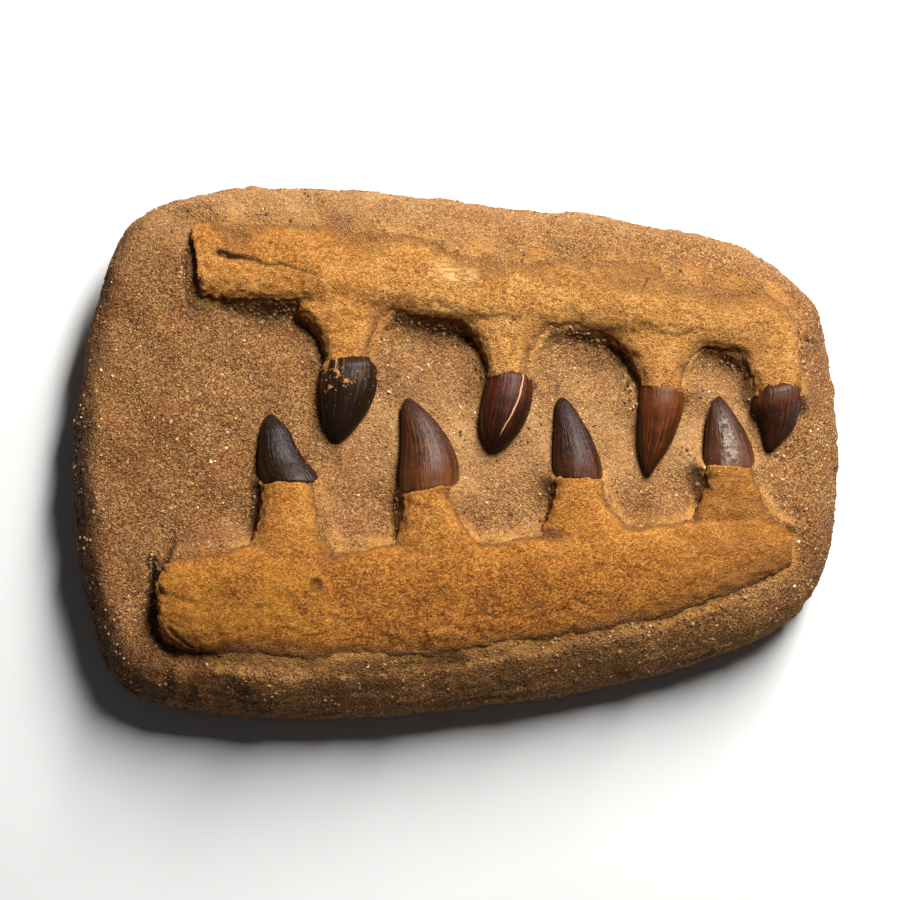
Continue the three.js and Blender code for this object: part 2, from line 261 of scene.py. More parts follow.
# %% The teeth: base, tip, width and slant as packed, and how far each side stands off the axis
TEETH = {
    "upper_crown_1": dict(base=(-46.6, 31.6), tip=(-51.4, 0), width=24.4, slant=5,
                          left=(11.7, 11.6, 10.9, 9.5, 7.9, 5.7, 3.5, 2.4),
                          right=(12.6, 13.3, 13.1, 11.2, 8.1, 5.3, 2.6, 1.6)),
    "upper_crown_2": dict(base=(22.7, 27.2), tip=(16.3, -4), width=20.4, slant=-4,
                          left=(8.6, 8.5, 8.4, 8.3, 7.3, 5.4, 2.9, 1.8),
                          right=(10.6, 11.9, 12.3, 11.4, 9.1, 6.2, 3.7, 2.4)),
    "upper_crown_3": dict(base=(89.9, 21.6), tip=(83.7, -15), width=19, slant=-10,
                          left=(9.3, 8.8, 8, 6.8, 5.6, 3.9, 2, 1.2),
                          right=(9.5, 10.3, 9.7, 8.2, 5.7, 2.8, 1.2, 0.8)),
    "upper_crown_4": dict(base=(140.7, 20.8), tip=(136.3, -4), width=23, slant=13,
                          left=(11, 10.6, 9.0, 5.6, 3.5, 2.3, 1.3, 0.9),
                          right=(10.9, 10.9, 10.3, 9.3, 6.5, 4, 2, 1.2)),
    "lower_crown_1": dict(base=(-70.7, -18.6), tip=(-81, 11.9), width=27, slant=0,
                          left=(12.8, 12.6, 11.7, 10.1, 7.4, 5.1, 3.4, 2.2),
                          right=(14.4, 11.2, 8.1, 6.4, 6.1, 4.1, 2, 1.4)),
    "lower_crown_2": dict(base=(-11.7, -21.4), tip=(-21.1, 19), width=26.2, slant=8,
                          left=(12.4, 11.2, 9.6, 7, 5.1, 3.7, 2.7, 1.9),
                          right=(13, 15, 15.2, 13.4, 9.8, 6.2, 2.9, 1.9)),
    "lower_crown_3": dict(base=(53.4, -16.8), tip=(45.9, 19.4), width=21.4, slant=-2,
                          left=(10.1, 9.5, 8.5, 6.9, 4.8, 3.4, 2.6, 1.8),
                          right=(10.4, 11.1, 10.5, 9.1, 6.5, 4.8, 2.6, 1.6)),
    "lower_crown_4": dict(base=(118.8, -11.6), tip=(114.7, 19.9), width=22, slant=-4,
                          left=(10.6, 10.1, 9, 7.8, 6.1, 4.7, 2.7, 1.8),
                          right=(11.2, 11.4, 10.8, 8.7, 5.9, 3.6, 1.7, 1.1)),
}
# each root's base x and y, width there, and where it leaves the bone its edges, y and top
ROOTS = [(-46.4, 32.1, 21, -71, -25, 58, 55.8), (23.3, 27.2, 20, 1, 47, 53, 55.8),
         (89.8, 21.9, 19.6, 66, 117, 46, 55.4), (140.7, 19.2, 22, 119, 152, 42, 54.6),
         (-71.1, -18.7, 26.8, -91, -43, -51, 58.6), (-11, -22.2, 25.6, -28, 13, -47, 57.4),
         (53.8, -16.9, 23, 34, 83, -42, 56), (118.7, -11.6, 23.4, 100, 145, -36, 52.4)]
PROFILE_SHARES = (0, 0.15, 0.3, 0.5, 0.7, 0.85, 0.95, 1)
CROWN_AXIS = 46.6
CROWN_TIP_RISE = 0.8
CROWN_THICKNESS = 0.84
CROWN_SUNK = 4


def tooth_directions(tooth):
    """Across the base and out along the crown, seen from above."""
    down = math.copysign(1, tooth["tip"][1] - tooth["base"][1])
    slant = math.radians(tooth["slant"])
    across = np.array([math.cos(slant), math.sin(slant)])
    return down, across, np.array([-across[1], across[0]]) * down


# %% Jaw bones without their crowns
BONE_VOXEL = 0.8
TOP_LIMIT = 60.5


def cut_crown_away(bone, tooth):
    """Cuts the bone off at the crown's base, and closes it there."""
    _, across, out = tooth_directions(tooth)
    points = points_of(bone)
    offset = points[:, :2] - np.array(tooth["base"])
    near = (np.abs(offset @ across) < tooth["width"]) & (offset @ out > -CROWN_SUNK - 4)
    work_on(bone)
    bpy.ops.object.mode_set(mode="EDIT")
    bpy.ops.mesh.select_mode(type="FACE")
    bpy.ops.mesh.select_all(action="DESELECT")
    bpy.ops.object.mode_set(mode="OBJECT")
    for polygon in bone.data.polygons:
        polygon.select = bool(near[list(polygon.vertices)].all())
    bpy.ops.object.mode_set(mode="EDIT")
    bpy.ops.mesh.bisect(
        plane_co=(tooth["base"][0] * MM, tooth["base"][1] * MM, CROWN_AXIS * MM),
        plane_no=(out[0], out[1], 0),
        clear_outer=True,
        use_fill=True,
    )
    bpy.ops.object.mode_set(mode="OBJECT")


NECK_MARGIN, NECK_REACH, NECK_LOWEST, NECK_ROUNDS = 5, 12, 46, 24


def smooth_necks(bone):
    """The roots grow out of the jaw without a seam."""
    points = points_of(bone)
    x, y = points[:, 0], points[:, 1]
    inside = np.zeros(len(points), bool)
    for _, _, _, left, right, neck_y, _ in ROOTS:
        beside_root = (x > left - NECK_MARGIN) & (x < right + NECK_MARGIN)
        inside |= beside_root & (np.abs(y - neck_y) < NECK_REACH)
    necks = bone.vertex_groups.new(name="necks")
    necks.add(np.flatnonzero(inside & (points[:, 2] > NECK_LOWEST)).tolist(), 1.0, "REPLACE")
    modify(bone, "SMOOTH", factor=0.5, iterations=NECK_ROUNDS, vertex_group="necks")


def rough_bone(jaw):
    """A jaw bone without its crowns, with even, fine faces."""
    bone = copy_of_node(f"{jaw}_jaw", f"{jaw}_jaw_bone")
    for name, tooth in TEETH.items():
        if name.startswith(jaw):
            cut_crown_away(bone, tooth)
    modify(bone, "REMESH", mode="VOXEL", voxel_size=BONE_VOXEL * MM)
    modify(bone, "SMOOTH", factor=0.5, iterations=6)
    smooth_necks(bone)
    return bone


upper_bone = rough_bone("upper")
lower_bone = rough_bone("lower")
for bone in (upper_bone, lower_bone):
    print(bone.name, len(bone.data.vertices), "vertices")

# %% [markdown]
# Bone that has lain in sand is never smooth. Broad lumps run along it, its surface has fine
# lengthwise grain, its flanks crumble, and its broken end is ragged. The lumps cut in more than they
# stand out, so the bone stays the size that it was packed at.

# %% Weathering of the bones
MOST_WORN, MOST_RAISED = -2.4, 0.7
UPPER_RAGGED_END, LOWER_RAGGED_END = -113, -126


def weather_bone(bone, ragged_end):
    """Wears the bone, most of all near its ragged end."""
    points, normals = points_of(bone), normals_of(bone)
    broad = lumps(points, 15, stretch=(1.7, 1, 1), seed=1) - 0.25
    small = lumps(points, 4.5, octaves=4, seed=2)
    flake = smoothstep(lumps(points, 19, stretch=(1.5, 1, 1), octaves=4, seed=6), 0.02, 0.09)
    grain = lumps(points, 1.5, stretch=(5, 1, 1), octaves=2, seed=3)
    from_end = points[:, 0] - ragged_end
    torn = lumps(points, 3, seed=4) * (1 - smoothstep(from_end, 0, 8))
    steep = 1 - smoothstep(normals[:, 2], 0.25, 0.8)
    crumbly = lumps(points, 2.4, octaves=2, seed=7) * steep * (1.3 - 0.6 * smoothstep(from_end, 10, 60))
    shift = 0.9 * broad + 0.42 * small + 0.08 * grain + 0.5 * (flake - 0.6) + 1.1 * torn + crumbly
    points += normals * np.clip(shift, MOST_WORN, MOST_RAISED)[:, None]
    points[:, 2] = np.minimum(points[:, 2], TOP_LIMIT)
    move_points(bone, points)


weather_bone(upper_bone, UPPER_RAGGED_END)
weather_bone(lower_bone, LOWER_RAGGED_END)
print("bones worn by up to", -MOST_WORN, "mm")

# %% [markdown]
# The marks that show in the photograph follow, place by place. The upper jaw has one long crack near
# its broken end, ledges where flakes have come off, and a few small pits.

# %% Marks on the upper jaw
marks = Sculpt(upper_bone)
marks.crack([(-103.7, 83), (-99.3, 81.2), (-92.3, 80.3), (-83.5, 77.6), (-72.2, 75.8), (-60, 72)],
            width=1.9, depth=2.6, end=0.25)
marks.swell((-98.5, 79.6), (5.5, 2.2), -1.6, turn=-12)
marks.ledge([(-58, 70), (-66, 74.5), (-83, 77), (-96, 80.5), (-108, 84)], 0.2, 7, wander=0.5, dark=0.1)
marks.ledge([(-112, 96.5), (-95, 97), (-70, 96), (-40, 95), (-14, 92)], -0.8, 5, dark=0)
marks.ledge([(67.1, 43.2), (60.2, 45.4), (53, 46.4), (45, 46.6)], 1.5, 5)
marks.ledge([(10.7, 81.5), (11.4, 74), (10.4, 67)], -0.7, 7, wander=0.2, dark=0.25)
marks.crack([(83.9, 70.7), (82.5, 68), (80.7, 65.3)], width=0.8, depth=0.8)
marks.pit((-26, 91.8), 0.9, 0.9)
marks.pit((-37.3, 87.7), 0.8, 0.8)
marks.pit((-18, 78), 0.7, 0.7)
marks.pit((33, 74), 0.7, 0.6)
marks.done()
upper_painted_shade = marks.dark
print("upper jaw marked,", int((upper_painted_shade > 0.3).sum()), "vertices in cracks")

# %% [markdown]
# On the lower jaw, a flake has come off beside the first root, with a ring-shaped pit in its edge.
# Its lower border sinks into the sand in three shallow dips.

# %% Marks on the lower jaw
marks = Sculpt(lower_bone)
marks.ledge([(-49.5, -77.5), (-52, -69.5), (-54, -64), (-57.5, -59.5), (-61.5, -54)], 1.7, 8,
            wander=0.4, dark=0)
marks.pit((-59.5, -64.5), 3.6, 1.4, lip=0.7, dark=0.55)
marks.pit((-95, -68), 1.5, 0.5)
marks.pit((-83.8, -73.6), 1.8, 0.5)
marks.swell((-75, -95), (48, 8), -1.5, turn=-2)
marks.swell((15, -93), (45, 8), -1.3, turn=8)
marks.swell((90, -76), (40, 7), -1.1, turn=18)
marks.crack([(-13, -83.6), (-11.7, -86.6), (-10.9, -90)], width=0.9, depth=1.2, wander=0.2)
marks.ledge([(-9, -92.6), (-15, -92), (-20, -92), (-26, -90.6)], 1.4, 3)
marks.ledge([(66, -69.5), (60, -66.8), (55, -66.6), (50, -69)], -0.5, 4, wander=0.6, dark=0.3)
marks.crack([(51, -69.5), (55, -72), (59, -72.6)], 0.9, 0.6, wander=0.6, dark=0.6)
marks.ledge([(140, -37.6), (123.8, -36.4), (104.6, -36.4), (81, -37)], 1.0, 5, wander=0.4, dark=0.1)
marks.crack([(-121.9, -82.5), (-117.1, -87), (-112, -90)], 1.6, 1.8)
marks.done()
lower_painted_shade = marks.dark
print("lower jaw marked,", int((lower_painted_shade > 0.3).sum()), "vertices in cracks")

# %% [markdown]
# The block is a worn pillow of sandstone with a flat foot. A sphere's rings are laid out as a walk
# from the middle of the foot, up the wall, over the shoulder and in to the middle of the bed, with
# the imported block's own outline and heights. The bones simply stand in it, as they do in the rock.

# %% The block's outline and heights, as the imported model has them
RIM = [(169.7, -6), (168.7, 31), (161, 66), (137, 87), (84, 102.5), (23, 109.5), (-52, 118),
       (-108, 116.5), (-140, 107), (-156, 84), (-167, 33), (-170, -17), (-164, -63), (-147, -104),
       (-106, -116), (-50, -118.25), (2, -114), (64, -105), (123, -88), (151, -72), (164, -49)]
GIRTH, FOOT_INSET, SHOULDER, SHOULDER_LEAN = 20, 5, 17, 7
HALF_LENGTH = 170
# height of the bed, how far it climbs between two values of y, and how far it falls at each end
BED, BANK, BANK_FROM, BANK_TO, FALL = 44.5, 5.5, 32, 90, 2.2
SWELLS = [(-76, 52, 20, 10, -4.4), (-5, 48, 16, 8, -4), (66, 38, 10, 12, -3.6), (119, 35, 8, 9, -2.6),
          (-26, 36, 7, 14, 2), (45, 30, 7, 13, 2), (109, 26, 7, 10, 1.6), (-97, -34, 9, 14, -2.4),
          (-34, -31, 8, 12, -2.6), (30, -26, 8, 12, -2.4), (97, -20, 8, 10, -2), (-47, -31, 7, 13, 2.4),
          (12, -31, 7, 13, 2.6), (76, -25, 8, 12, 3), (140, -20, 8, 13, 2.6), (-64, 16, 6, 15, -2.2),
          (4, 12, 6, 14, -1.8), (73, 6, 6, 16, -1.8), (-141, -70, 10, 24, -3.6), (-110, 12, 34, 26, 1.8),
          (150, -23, 16, 30, 1)]
RIM_STEPS = 40  # points on each stretch of the outline
# long worn waves: direction, length and rise
WAVES = [((0.9, 0.3, 0.5), 47, 0.4), ((-0.4, 0.8, 0.6), 37, 0.35), ((0.2, -0.9, 0.9), 29, 0.35),
         ((0.8, 0.7, -0.5), 24, 0.3)]
WAVE_FADE = 12
# each bone's x, and its high edge, low edge and crest there
JAW_LINES = {
    "upper": ((-114, -100, -72, -40, -8, 28, 62, 98, 126, 142, 150),
              (100, 101.5, 101.5, 99.5, 95, 89.5, 86, 81, 74, 65.5, 56),
              (65, 62.5, 61, 58.5, 52.5, 49.5, 47, 42, 37.5, 35, 36),
              (54, 55, 56.4, 57.2, 57.4, 57, 56.6, 56.4, 55.6, 54.2, 52)),
    "lower": ((-127, -121, -97, -55, -11, 32, 80, 112, 132, 145),
              (-57, -51, -46, -45, -44, -41, -35.5, -33.5, -33.5, -38),
              (-82, -89.5, -95.5, -99, -96.5, -90, -81, -70, -61, -53),
              (57, 59.4, 60.4, 60, 59, 57.8, 56, 53.6, 50.8, 47.6)),
}
# which side of each bone is the outer one, and how far below the crest the sand leans on it, and how
# steeply it falls away, outside and inside
LEANS = dict(upper=(1, (2.8, 0.4), (4.8, 0.9)), lower=(-1, (7, 0.4), (5.5, 0.9)))
ROOT_AXIS, ROOT_THICKNESS, ROOT_FLARE = 46, 0.9, 2.3
ROOT_BANKED, ROOT_DUG, ROOT_SLOPE = 4, 6.5, 1.3
LEAN_SOFTNESS = 5
# places where the rock is dug away from the bone: x, y, reach along x and y, and how much
DUG = [(-117, 84, 9, 22, 9), (-92, 55, 26, 7, 9), (-64, 42, 8, 14, 7), (-6, 48, 18, 7, 7),
       (6, 34, 7, 12, 6), (58, 43, 16, 5, 6), (76, 30, 7, 13, 6), (118, 34, 9, 8, 6),
       (-133, -72, 11, 20, 9), (-90, -34, 7, 14, 7), (-30, -33, 7, 14, 6), (36, -28, 6, 12, 5),
       (101, -24, 6, 11, 4), (9, -36, 6, 8, 6.5), (74, -31, 6, 8, 7), (23, -37, 9, 6, 3),
       (-120, -93, 12, 8, 6)]


def plain_bed(x, y):
    """Height of the bed before its dips and banks."""
    return BED + BANK * smoothstep(y, BANK_FROM, BANK_TO) - FALL * (x / HALF_LENGTH) ** 2


def rim_line():
    """The smooth closed outline through the rim's points, as many close points."""
    line = []
    for k in range(len(RIM)):
        p0, p1, p2, p3 = (np.array(RIM[(k + j) % len(RIM)], float) for j in (-1, 0, 1, 2))
        d0, d1, d2 = (math.sqrt(np.linalg.norm(b - a)) for a, b in ((p0, p1), (p1, p2), (p2, p3)))
        out = ((p1 - p0) / d0 - (p2 - p0) / (d0 + d1) + (p2 - p1) / d1) * d1
        back = ((p2 - p1) / d1 - (p3 - p1) / (d1 + d2) + (p3 - p2) / d2) * d1
        for t in np.linspace(0, 1, RIM_STEPS, endpoint=False):
            line.append((2 * t**3 - 3 * t**2 + 1) * p1 + (t**3 - 2 * t**2 + t) * out
                        + (3 * t**2 - 2 * t**3) * p2 + (t**3 - t**2) * back)
    return np.array(line)


rim = rim_line()
rim_angle = np.unwrap(np.arctan2(rim[:, 1], rim[:, 0]))
rim_radius = np.linalg.norm(rim, axis=1)


def radius_at(angle):
    """How far the outline is from the middle in each direction."""
    wrapped = (angle - rim_angle[0]) % (2 * math.pi) + rim_angle[0]
    return np.interp(wrapped, np.append(rim_angle, rim_angle[0] + 2 * math.pi),
                     np.append(rim_radius, rim_radius[0]))


print("outline", np.ptp(rim, axis=0).round(1), "mm")

# %% The block as a shaped sphere
STONE_VOXEL = 1.2
STONE_RINGS = 48
STONE_SIDES = 180
# the walk's five rings, and how far up the sphere each lies: the foot's middle, the foot's edge, the
# girth, the edge of the bed, and the bed's middle
WALK_SHARES = (0, 0.12, 0.34, 0.6, 1)
FOOT_SNAP = 0.45  # whatever is lower than this lies in the foot


def block_points(points):
    """Lays the sphere's vertices out as the block."""
    angle = np.arctan2(points[:, 1], points[:, 0])
    share = np.arccos(np.clip(-points[:, 2] / np.linalg.norm(points, axis=1), -1, 1)) / math.pi
    ring = np.interp(share, WALK_SHARES, range(len(WALK_SHARES)))
    radius = radius_at(angle)
    across = np.sin(angle)
    shoulder = SHOULDER - SHOULDER_LEAN * across
    down = np.clip(2 - ring, 0, 1)
    turn = np.clip(ring - 2, 0, 1) * math.pi / 2
    wall = radius - FOOT_INSET * down**2
    over = (radius - shoulder * (1 - np.cos(turn))) * np.clip(4 - ring, 0, 1)
    reach = np.where(ring <= 1, (radius - FOOT_INSET) * ring, np.where(ring <= 2, wall, over))
    x, y = reach * np.cos(angle), reach * np.sin(angle)
    over_girth = (plain_bed(x, y) - GIRTH) * np.sin(turn)
    height = np.where(ring <= 2, GIRTH * (1 - down), GIRTH + over_girth)
    return np.stack([x, y, np.where(ring <= 1, 0, height)], axis=1)


bpy.ops.object.select_all(action="DESELECT")
bpy.ops.mesh.primitive_uv_sphere_add(segments=STONE_SIDES, ring_count=STONE_RINGS, radius=0.1)
stone = named("sandstone_matrix")
move_points(stone, block_points(points_of(stone)))
modify(stone, "REMESH", mode="VOXEL", voxel_size=STONE_VOXEL * MM)
modify(stone, "SMOOTH", factor=0.5, iterations=4)


def make_foot_one_face(piece):
    """The hidden flat foot needs no fine faces."""
    points = points_of(piece)
    points[points[:, 2] < FOOT_SNAP, 2] = 0
    move_points(piece, points)
    edit(piece, lambda: bpy.ops.mesh.select_mode(type="FACE"),
         lambda: bpy.ops.mesh.select_all(action="DESELECT"))
    for polygon in piece.data.polygons:
        polygon.select = polygon.center.z < 0.3 * MM and polygon.normal.z < -0.95
    bpy.ops.object.mode_set(mode="EDIT")
    bpy.ops.mesh.dissolve_faces()
    bpy.ops.object.mode_set(mode="OBJECT")


make_foot_one_face(stone)
print(stone.name, len(stone.data.vertices), "vertices")

# %% [markdown]
# Wind and tools leave the bed with dips and banks of sand, and the wall with coarse, ragged layers.
# The swells, the sand that leans on the bones, the places dug away from them and the long waves are
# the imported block's own. Smaller lumps, bites and layers are added over them.

# %% Heights of the bed
def mounds(places, x, y):
    """The sum of round rises and hollows."""
    return sum(rise * bell(x, cx, rx) * bell(y, cy, ry) for cx, cy, rx, ry, rise in places)


def lean_on_bone(jaw, x, y):
    """Height of the sand that leans on a jaw bone."""
    at, *lines = JAW_LINES[jaw]
    high, low, crest = (np.interp(x, at, line) for line in lines)
    side, outer, inner = LEANS[jaw]
    outside = (y - (high + low) / 2) * side > 0
    below, slope = (np.where(outside, outer[k], inner[k]) for k in (0, 1))
    beyond = np.maximum(np.maximum(at[0] - x, x - at[-1]), 0)
    return crest - below - slope * np.hypot(beyond, np.maximum(np.maximum(y - high, low - y), 0))


def lean_on_root(root, x, y):
    """Height of the sand that leans on the root of a tooth."""
    base_x, base_y, width, left, right, neck_y, neck_top = root
    share = np.clip((y - neck_y) / (base_y - neck_y), 0, 1)
    sweep = (1 - share) ** ROOT_FLARE
    centre = base_x + ((left + right) / 2 - base_x) * sweep
    half = (width + (right - left - width) * sweep) / 2
    top = neck_top + (ROOT_AXIS + width / 2 * ROOT_THICKNESS - neck_top) * share**1.5
    down = math.copysign(1, base_y - neck_y)
    past = np.maximum(np.maximum((y - base_y) * down, (neck_y - y) * down), 0)
    away = np.hypot(np.maximum(np.abs(x - centre) - half, 0), past)
    return top - np.where(x > centre, ROOT_BANKED, ROOT_DUG) - ROOT_SLOPE * away


def bed_rise(x, y):
    """How far the bed stands above its plain height, and that height."""
    plain = plain_bed(x, y)
    swells = mounds(SWELLS, x, y)
    leaning = [lean_on_bone(jaw, x, y) for jaw in JAW_LINES] + [lean_on_root(r, x, y) for r in ROOTS]
    over = np.maximum.reduce(leaning) - mounds(DUG, x, y) - plain - swells
    return swells + (over + np.sqrt(over**2 + LEAN_SOFTNESS)) / 2, plain


def waves(points):
    """How far the worn waves push the surface out."""
    return sum(rise * np.sin(2 * math.pi * (points @ np.array(direction)) / length)
               for direction, length, rise in WAVES)


# %% Relief of the block
def shape_bed(piece):
    """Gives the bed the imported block's rises and hollows, and the whole block its long waves."""
    points = points_of(piece)
    rise, plain = bed_rise(points[:, 0], points[:, 1])
    above = np.clip((points[:, 2] - GIRTH) / (plain - GIRTH), 0, 1)
    points[:, 2] += rise * above
    fade = np.minimum(np.abs(points[:, 2] - GIRTH), points[:, 2]) / WAVE_FADE
    move_points(piece, points)
    points += normals_of(piece) * (waves(points) * np.clip(fade, 0, 1))[:, None]
    move_points(piece, points)


MOST_BITTEN, MOST_LIFTED = -3, 0.9


def weather_stone(piece):
    """Wears the block: soft lumps on its bed, and layers and bites in its wall."""
    points, normals = points_of(piece), normals_of(piece)
    side = 1 - smoothstep(normals[:, 2], 0.35, 0.9)
    foot = smoothstep(points[:, 2], 0.2, 3)
    broad = lumps(points, 30, seed=11)
    middle = lumps(points, 9, seed=12)
    small = lumps(points, 3.2, octaves=2, seed=13)
    bitten = np.clip(lumps(points, 6.5, octaves=3, seed=14) - 0.12, 0, 1)
    layers = lumps(points, 5, stretch=(9, 9, 0.55), octaves=2, seed=15)
    shift = 0.3 * broad + 0.5 * (middle - 0.1) * (0.6 + 0.8 * side) + 0.22 * small
    shift += side * (0.7 * layers - 1.6 * bitten - 0.45)
    points += normals * (np.clip(shift, MOST_BITTEN, MOST_LIFTED) * foot)[:, None]
    move_points(piece, points)


shape_bed(stone)
weather_stone(stone)
print("block's relief done, highest at", round(points_of(stone)[:, 2].max(), 1), "mm")

# %% [markdown]
# The sand has come away from the bones' left and lower sides, mostly in the corners of the roots.
# These hollows are strokes too. They are also kept as dark values, as painted shade.

# %% Hollows along the bones
# each with its path, width, depth and how much painted shade it gets
HOLLOWS = [
    ([(-132, -53), (-132, -66), (-129, -82), (-121, -93)], 4.5, 3, 1.0),
    ([(-119, 84), (-119.5, 74), (-117, 63), (-112, 58)], 2.6, 1.0, 0.9),
    ([(-101, 60), (-90, 58), (-73, 57), (-64, 50.5), (-58.5, 40.5), (-57, 31)], 4.2, 1.8, 0.95),
    ([(-25, 54), (-11, 51.5), (2, 48.5), (11, 43), (14, 33)], 3.8, 1.8, 1.0),
    ([(50, 47), (63, 45), (73, 40.5), (78, 30), (80, 20)], 3.4, 1.6, 1.0),
    ([(107, 40.5), (117, 38), (126, 31.5)], 3.0, 1.4, 0.8),
    ([(153, 47), (153.5, 39), (152.5, 29)], 2.6, 1.0, 0.7),
    ([(-86, -44), (-84.5, -33), (-84, -21)], 2.6, 1.2, 0.7),
    ([(-27, -42), (-24.5, -31), (-24, -23)], 2.4, 1.0, 0.6),
    ([(38, -38), (41.5, -28), (42.5, -18)], 2.2, 0.8, 0.4),
    ([(104, -31), (107, -21), (107, -17)], 2.0, 0.7, 0.15),
    ([(-122, -88), (-97, -95), (-70, -98), (-43, -98.5), (0, -95)], 6.5, 2.6, 0.85),
    ([(0, -95), (40, -88), (80, -80), (112, -69.5), (132, -60.5)], 4.2, 1.4, 0.6),
]

marks = Sculpt(stone)
for way, width, depth, dark in HOLLOWS:
    marks.crack(way, width, depth, end=0.7, dark=dark)
marks.swell((-82, 93), (34, 7), -1.6, turn=-2)
marks.done()
stone_painted_shade = marks.dark
print("stone marked,", int((stone_painted_shade > 0.3).sum()), "vertices in hollows")

# %% [markdown]
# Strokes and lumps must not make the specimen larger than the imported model, whose size is the true
# one. So the few vertices that stand outside its box are moved back to its faces.

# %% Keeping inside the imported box
bone_surfaces = [surface_of(bone) for bone in (upper_bone, lower_bone)]


def trim_to_packed_box(piece):
    """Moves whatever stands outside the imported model's box back to its faces."""
    low, high = np.array(cad_low) / MM, np.array(cad_high) / MM
    move_points(piece, np.clip(points_of(piece), low, high))


for piece in (stone, upper_bone, lower_bone):
    trim_to_packed_box(piece)
print("pieces trimmed to", np.ptp([cad_low, cad_high], axis=0).round(3), "m")

# %% [markdown]
# The stone isn't one colour. It is stained ochre beside the bones. Painted shade darkens the hollows,
# the left wall, which faces away from the lamp, and the smooth lower left corner. Painted light makes
# the sand paler between the jaws and along the back, which faces the lamp. Each of these is kept with
# the mesh as a value that the finish reads.

# %% Stains on the stone
STAINED_FROM = 34  # no bone comes near the stone's surface below this height
STAIN_REACH, FAR_OFF = 7, 9


def stain_stone(piece):
    """Keeps the stone's stains, painted shade and painted light, and gives how far each vertex is from
    bone.
    """
    points = points_of(piece)
    top = np.flatnonzero(points[:, 2] > STAINED_FROM)
    gap = np.full(len(points), float(FAR_OFF))
    gap[top] = np.minimum(*(distance_to(tree, points[top], FAR_OFF) for tree in bone_surfaces))
    patches = 0.75 + 0.6 * lumps(points, 12, seed=61)
    keep_values(piece, "stain", (1 - smoothstep(gap, 0.3, STAIN_REACH)) * patches)
    x, y, z = points.T
    # painted shade low in the lower left corner, on the wall that faces away from the lamp
    corner = smoothstep(-0.8 * x - 0.62 * y, 112, 142)
    low_down = 1 - smoothstep(z + 3 * lumps(points, 14, seed=62), 20, 27)
    keep_values(piece, "corner_shade", corner * low_down)
    # painted shade on the walls that face away from the lamp, joined to the hollows' painted shade
    facing = normals_of(piece)
    shaded = smoothstep(-facing[:, 0] - 0.35 * facing[:, 1], 0.15, 0.65) * (1 - smoothstep(y, 0, 60))
    keep_values(piece, "dark", np.maximum(stone_painted_shade, 0.95 * shaded))
    # painted light: paler sand between the jaws and along the back, which faces the lamp
    trough_painted_light = bell(y, 4, 24) * smoothstep(x, -70, -20) * (1 - smoothstep(x, 120, 150))
    back = 0.7 * smoothstep(y, 70, 108)
    keep_values(piece, "pale", (trough_painted_light + back) * (0.8 + 0.6 * lumps(points, 14, seed=63)))
    return gap


gap_to_bone = stain_stone(stone)
print("sand lies against the bones at", int((abs(gap_to_bone) < 1).sum()), "vertices")

# %% [markdown]
# Eight crowns differ in width, bend and taper, but each is the same kind of thing: a bent cone, a
# little flattened, with a rounded tip and fine ridges along it. One blank is modelled, a round that
# is extruded ring by ring, and each crown is a copy that is bent onto its own axis.

# %% One blank crown
CROWN_SIDES = 160
CROWN_RINGS = 84

bpy.ops.object.select_all(action="DESELECT")
bpy.ops.mesh.primitive_circle_add(vertices=CROWN_SIDES, radius=1 * MM, fill_type="NGON")
blank = named("crown_blank")
work_on(blank)
bpy.ops.object.mode_set(mode="EDIT")
bpy.ops.mesh.select_all(action="SELECT")
for _ in range(CROWN_RINGS):
    bpy.ops.mesh.extrude_region_move(TRANSFORM_OT_translate={"value": (0, 0, 1 * MM)})
bpy.ops.mesh.poke()
bpy.ops.object.mode_set(mode="OBJECT")
print(blank.name, len(blank.data.vertices), "vertices")

# %% Each crown bent onto its own axis
CROWN_GROWN = 0.2  # how much larger than the outline, all round
BLUNT_FROM, BLUNT_REACH = 0.93, 0.0705  # shares of the length over which the tip is rounded off
SUNK_SHARE = 0.86  # width of the hidden stub in the bone, as a share of the base
# radius and length of the plain column on which the enamel's ridges and colours are laid out
COLUMN_RADIUS, COLUMN_LENGTH = 9, 30
SHORT_COLUMN = 2.4  # length of the one for the modelled ridges, which draws them out along the crown
RIDGES = dict(upper_crown_1=0.30, upper_crown_2=0.10, upper_crown_3=0.12, upper_crown_4=0.14,
              lower_crown_1=0.10, lower_crown_2=0.07, lower_crown_3=0.08, lower_crown_4=0.12)


def through(values, share):
    """A smooth line through a profile's values."""
    near = sum(np.interp(np.clip(share + d, 0, 1), PROFILE_SHARES, values) for d in (-0.05, 0, 0.05))
    return near / 3


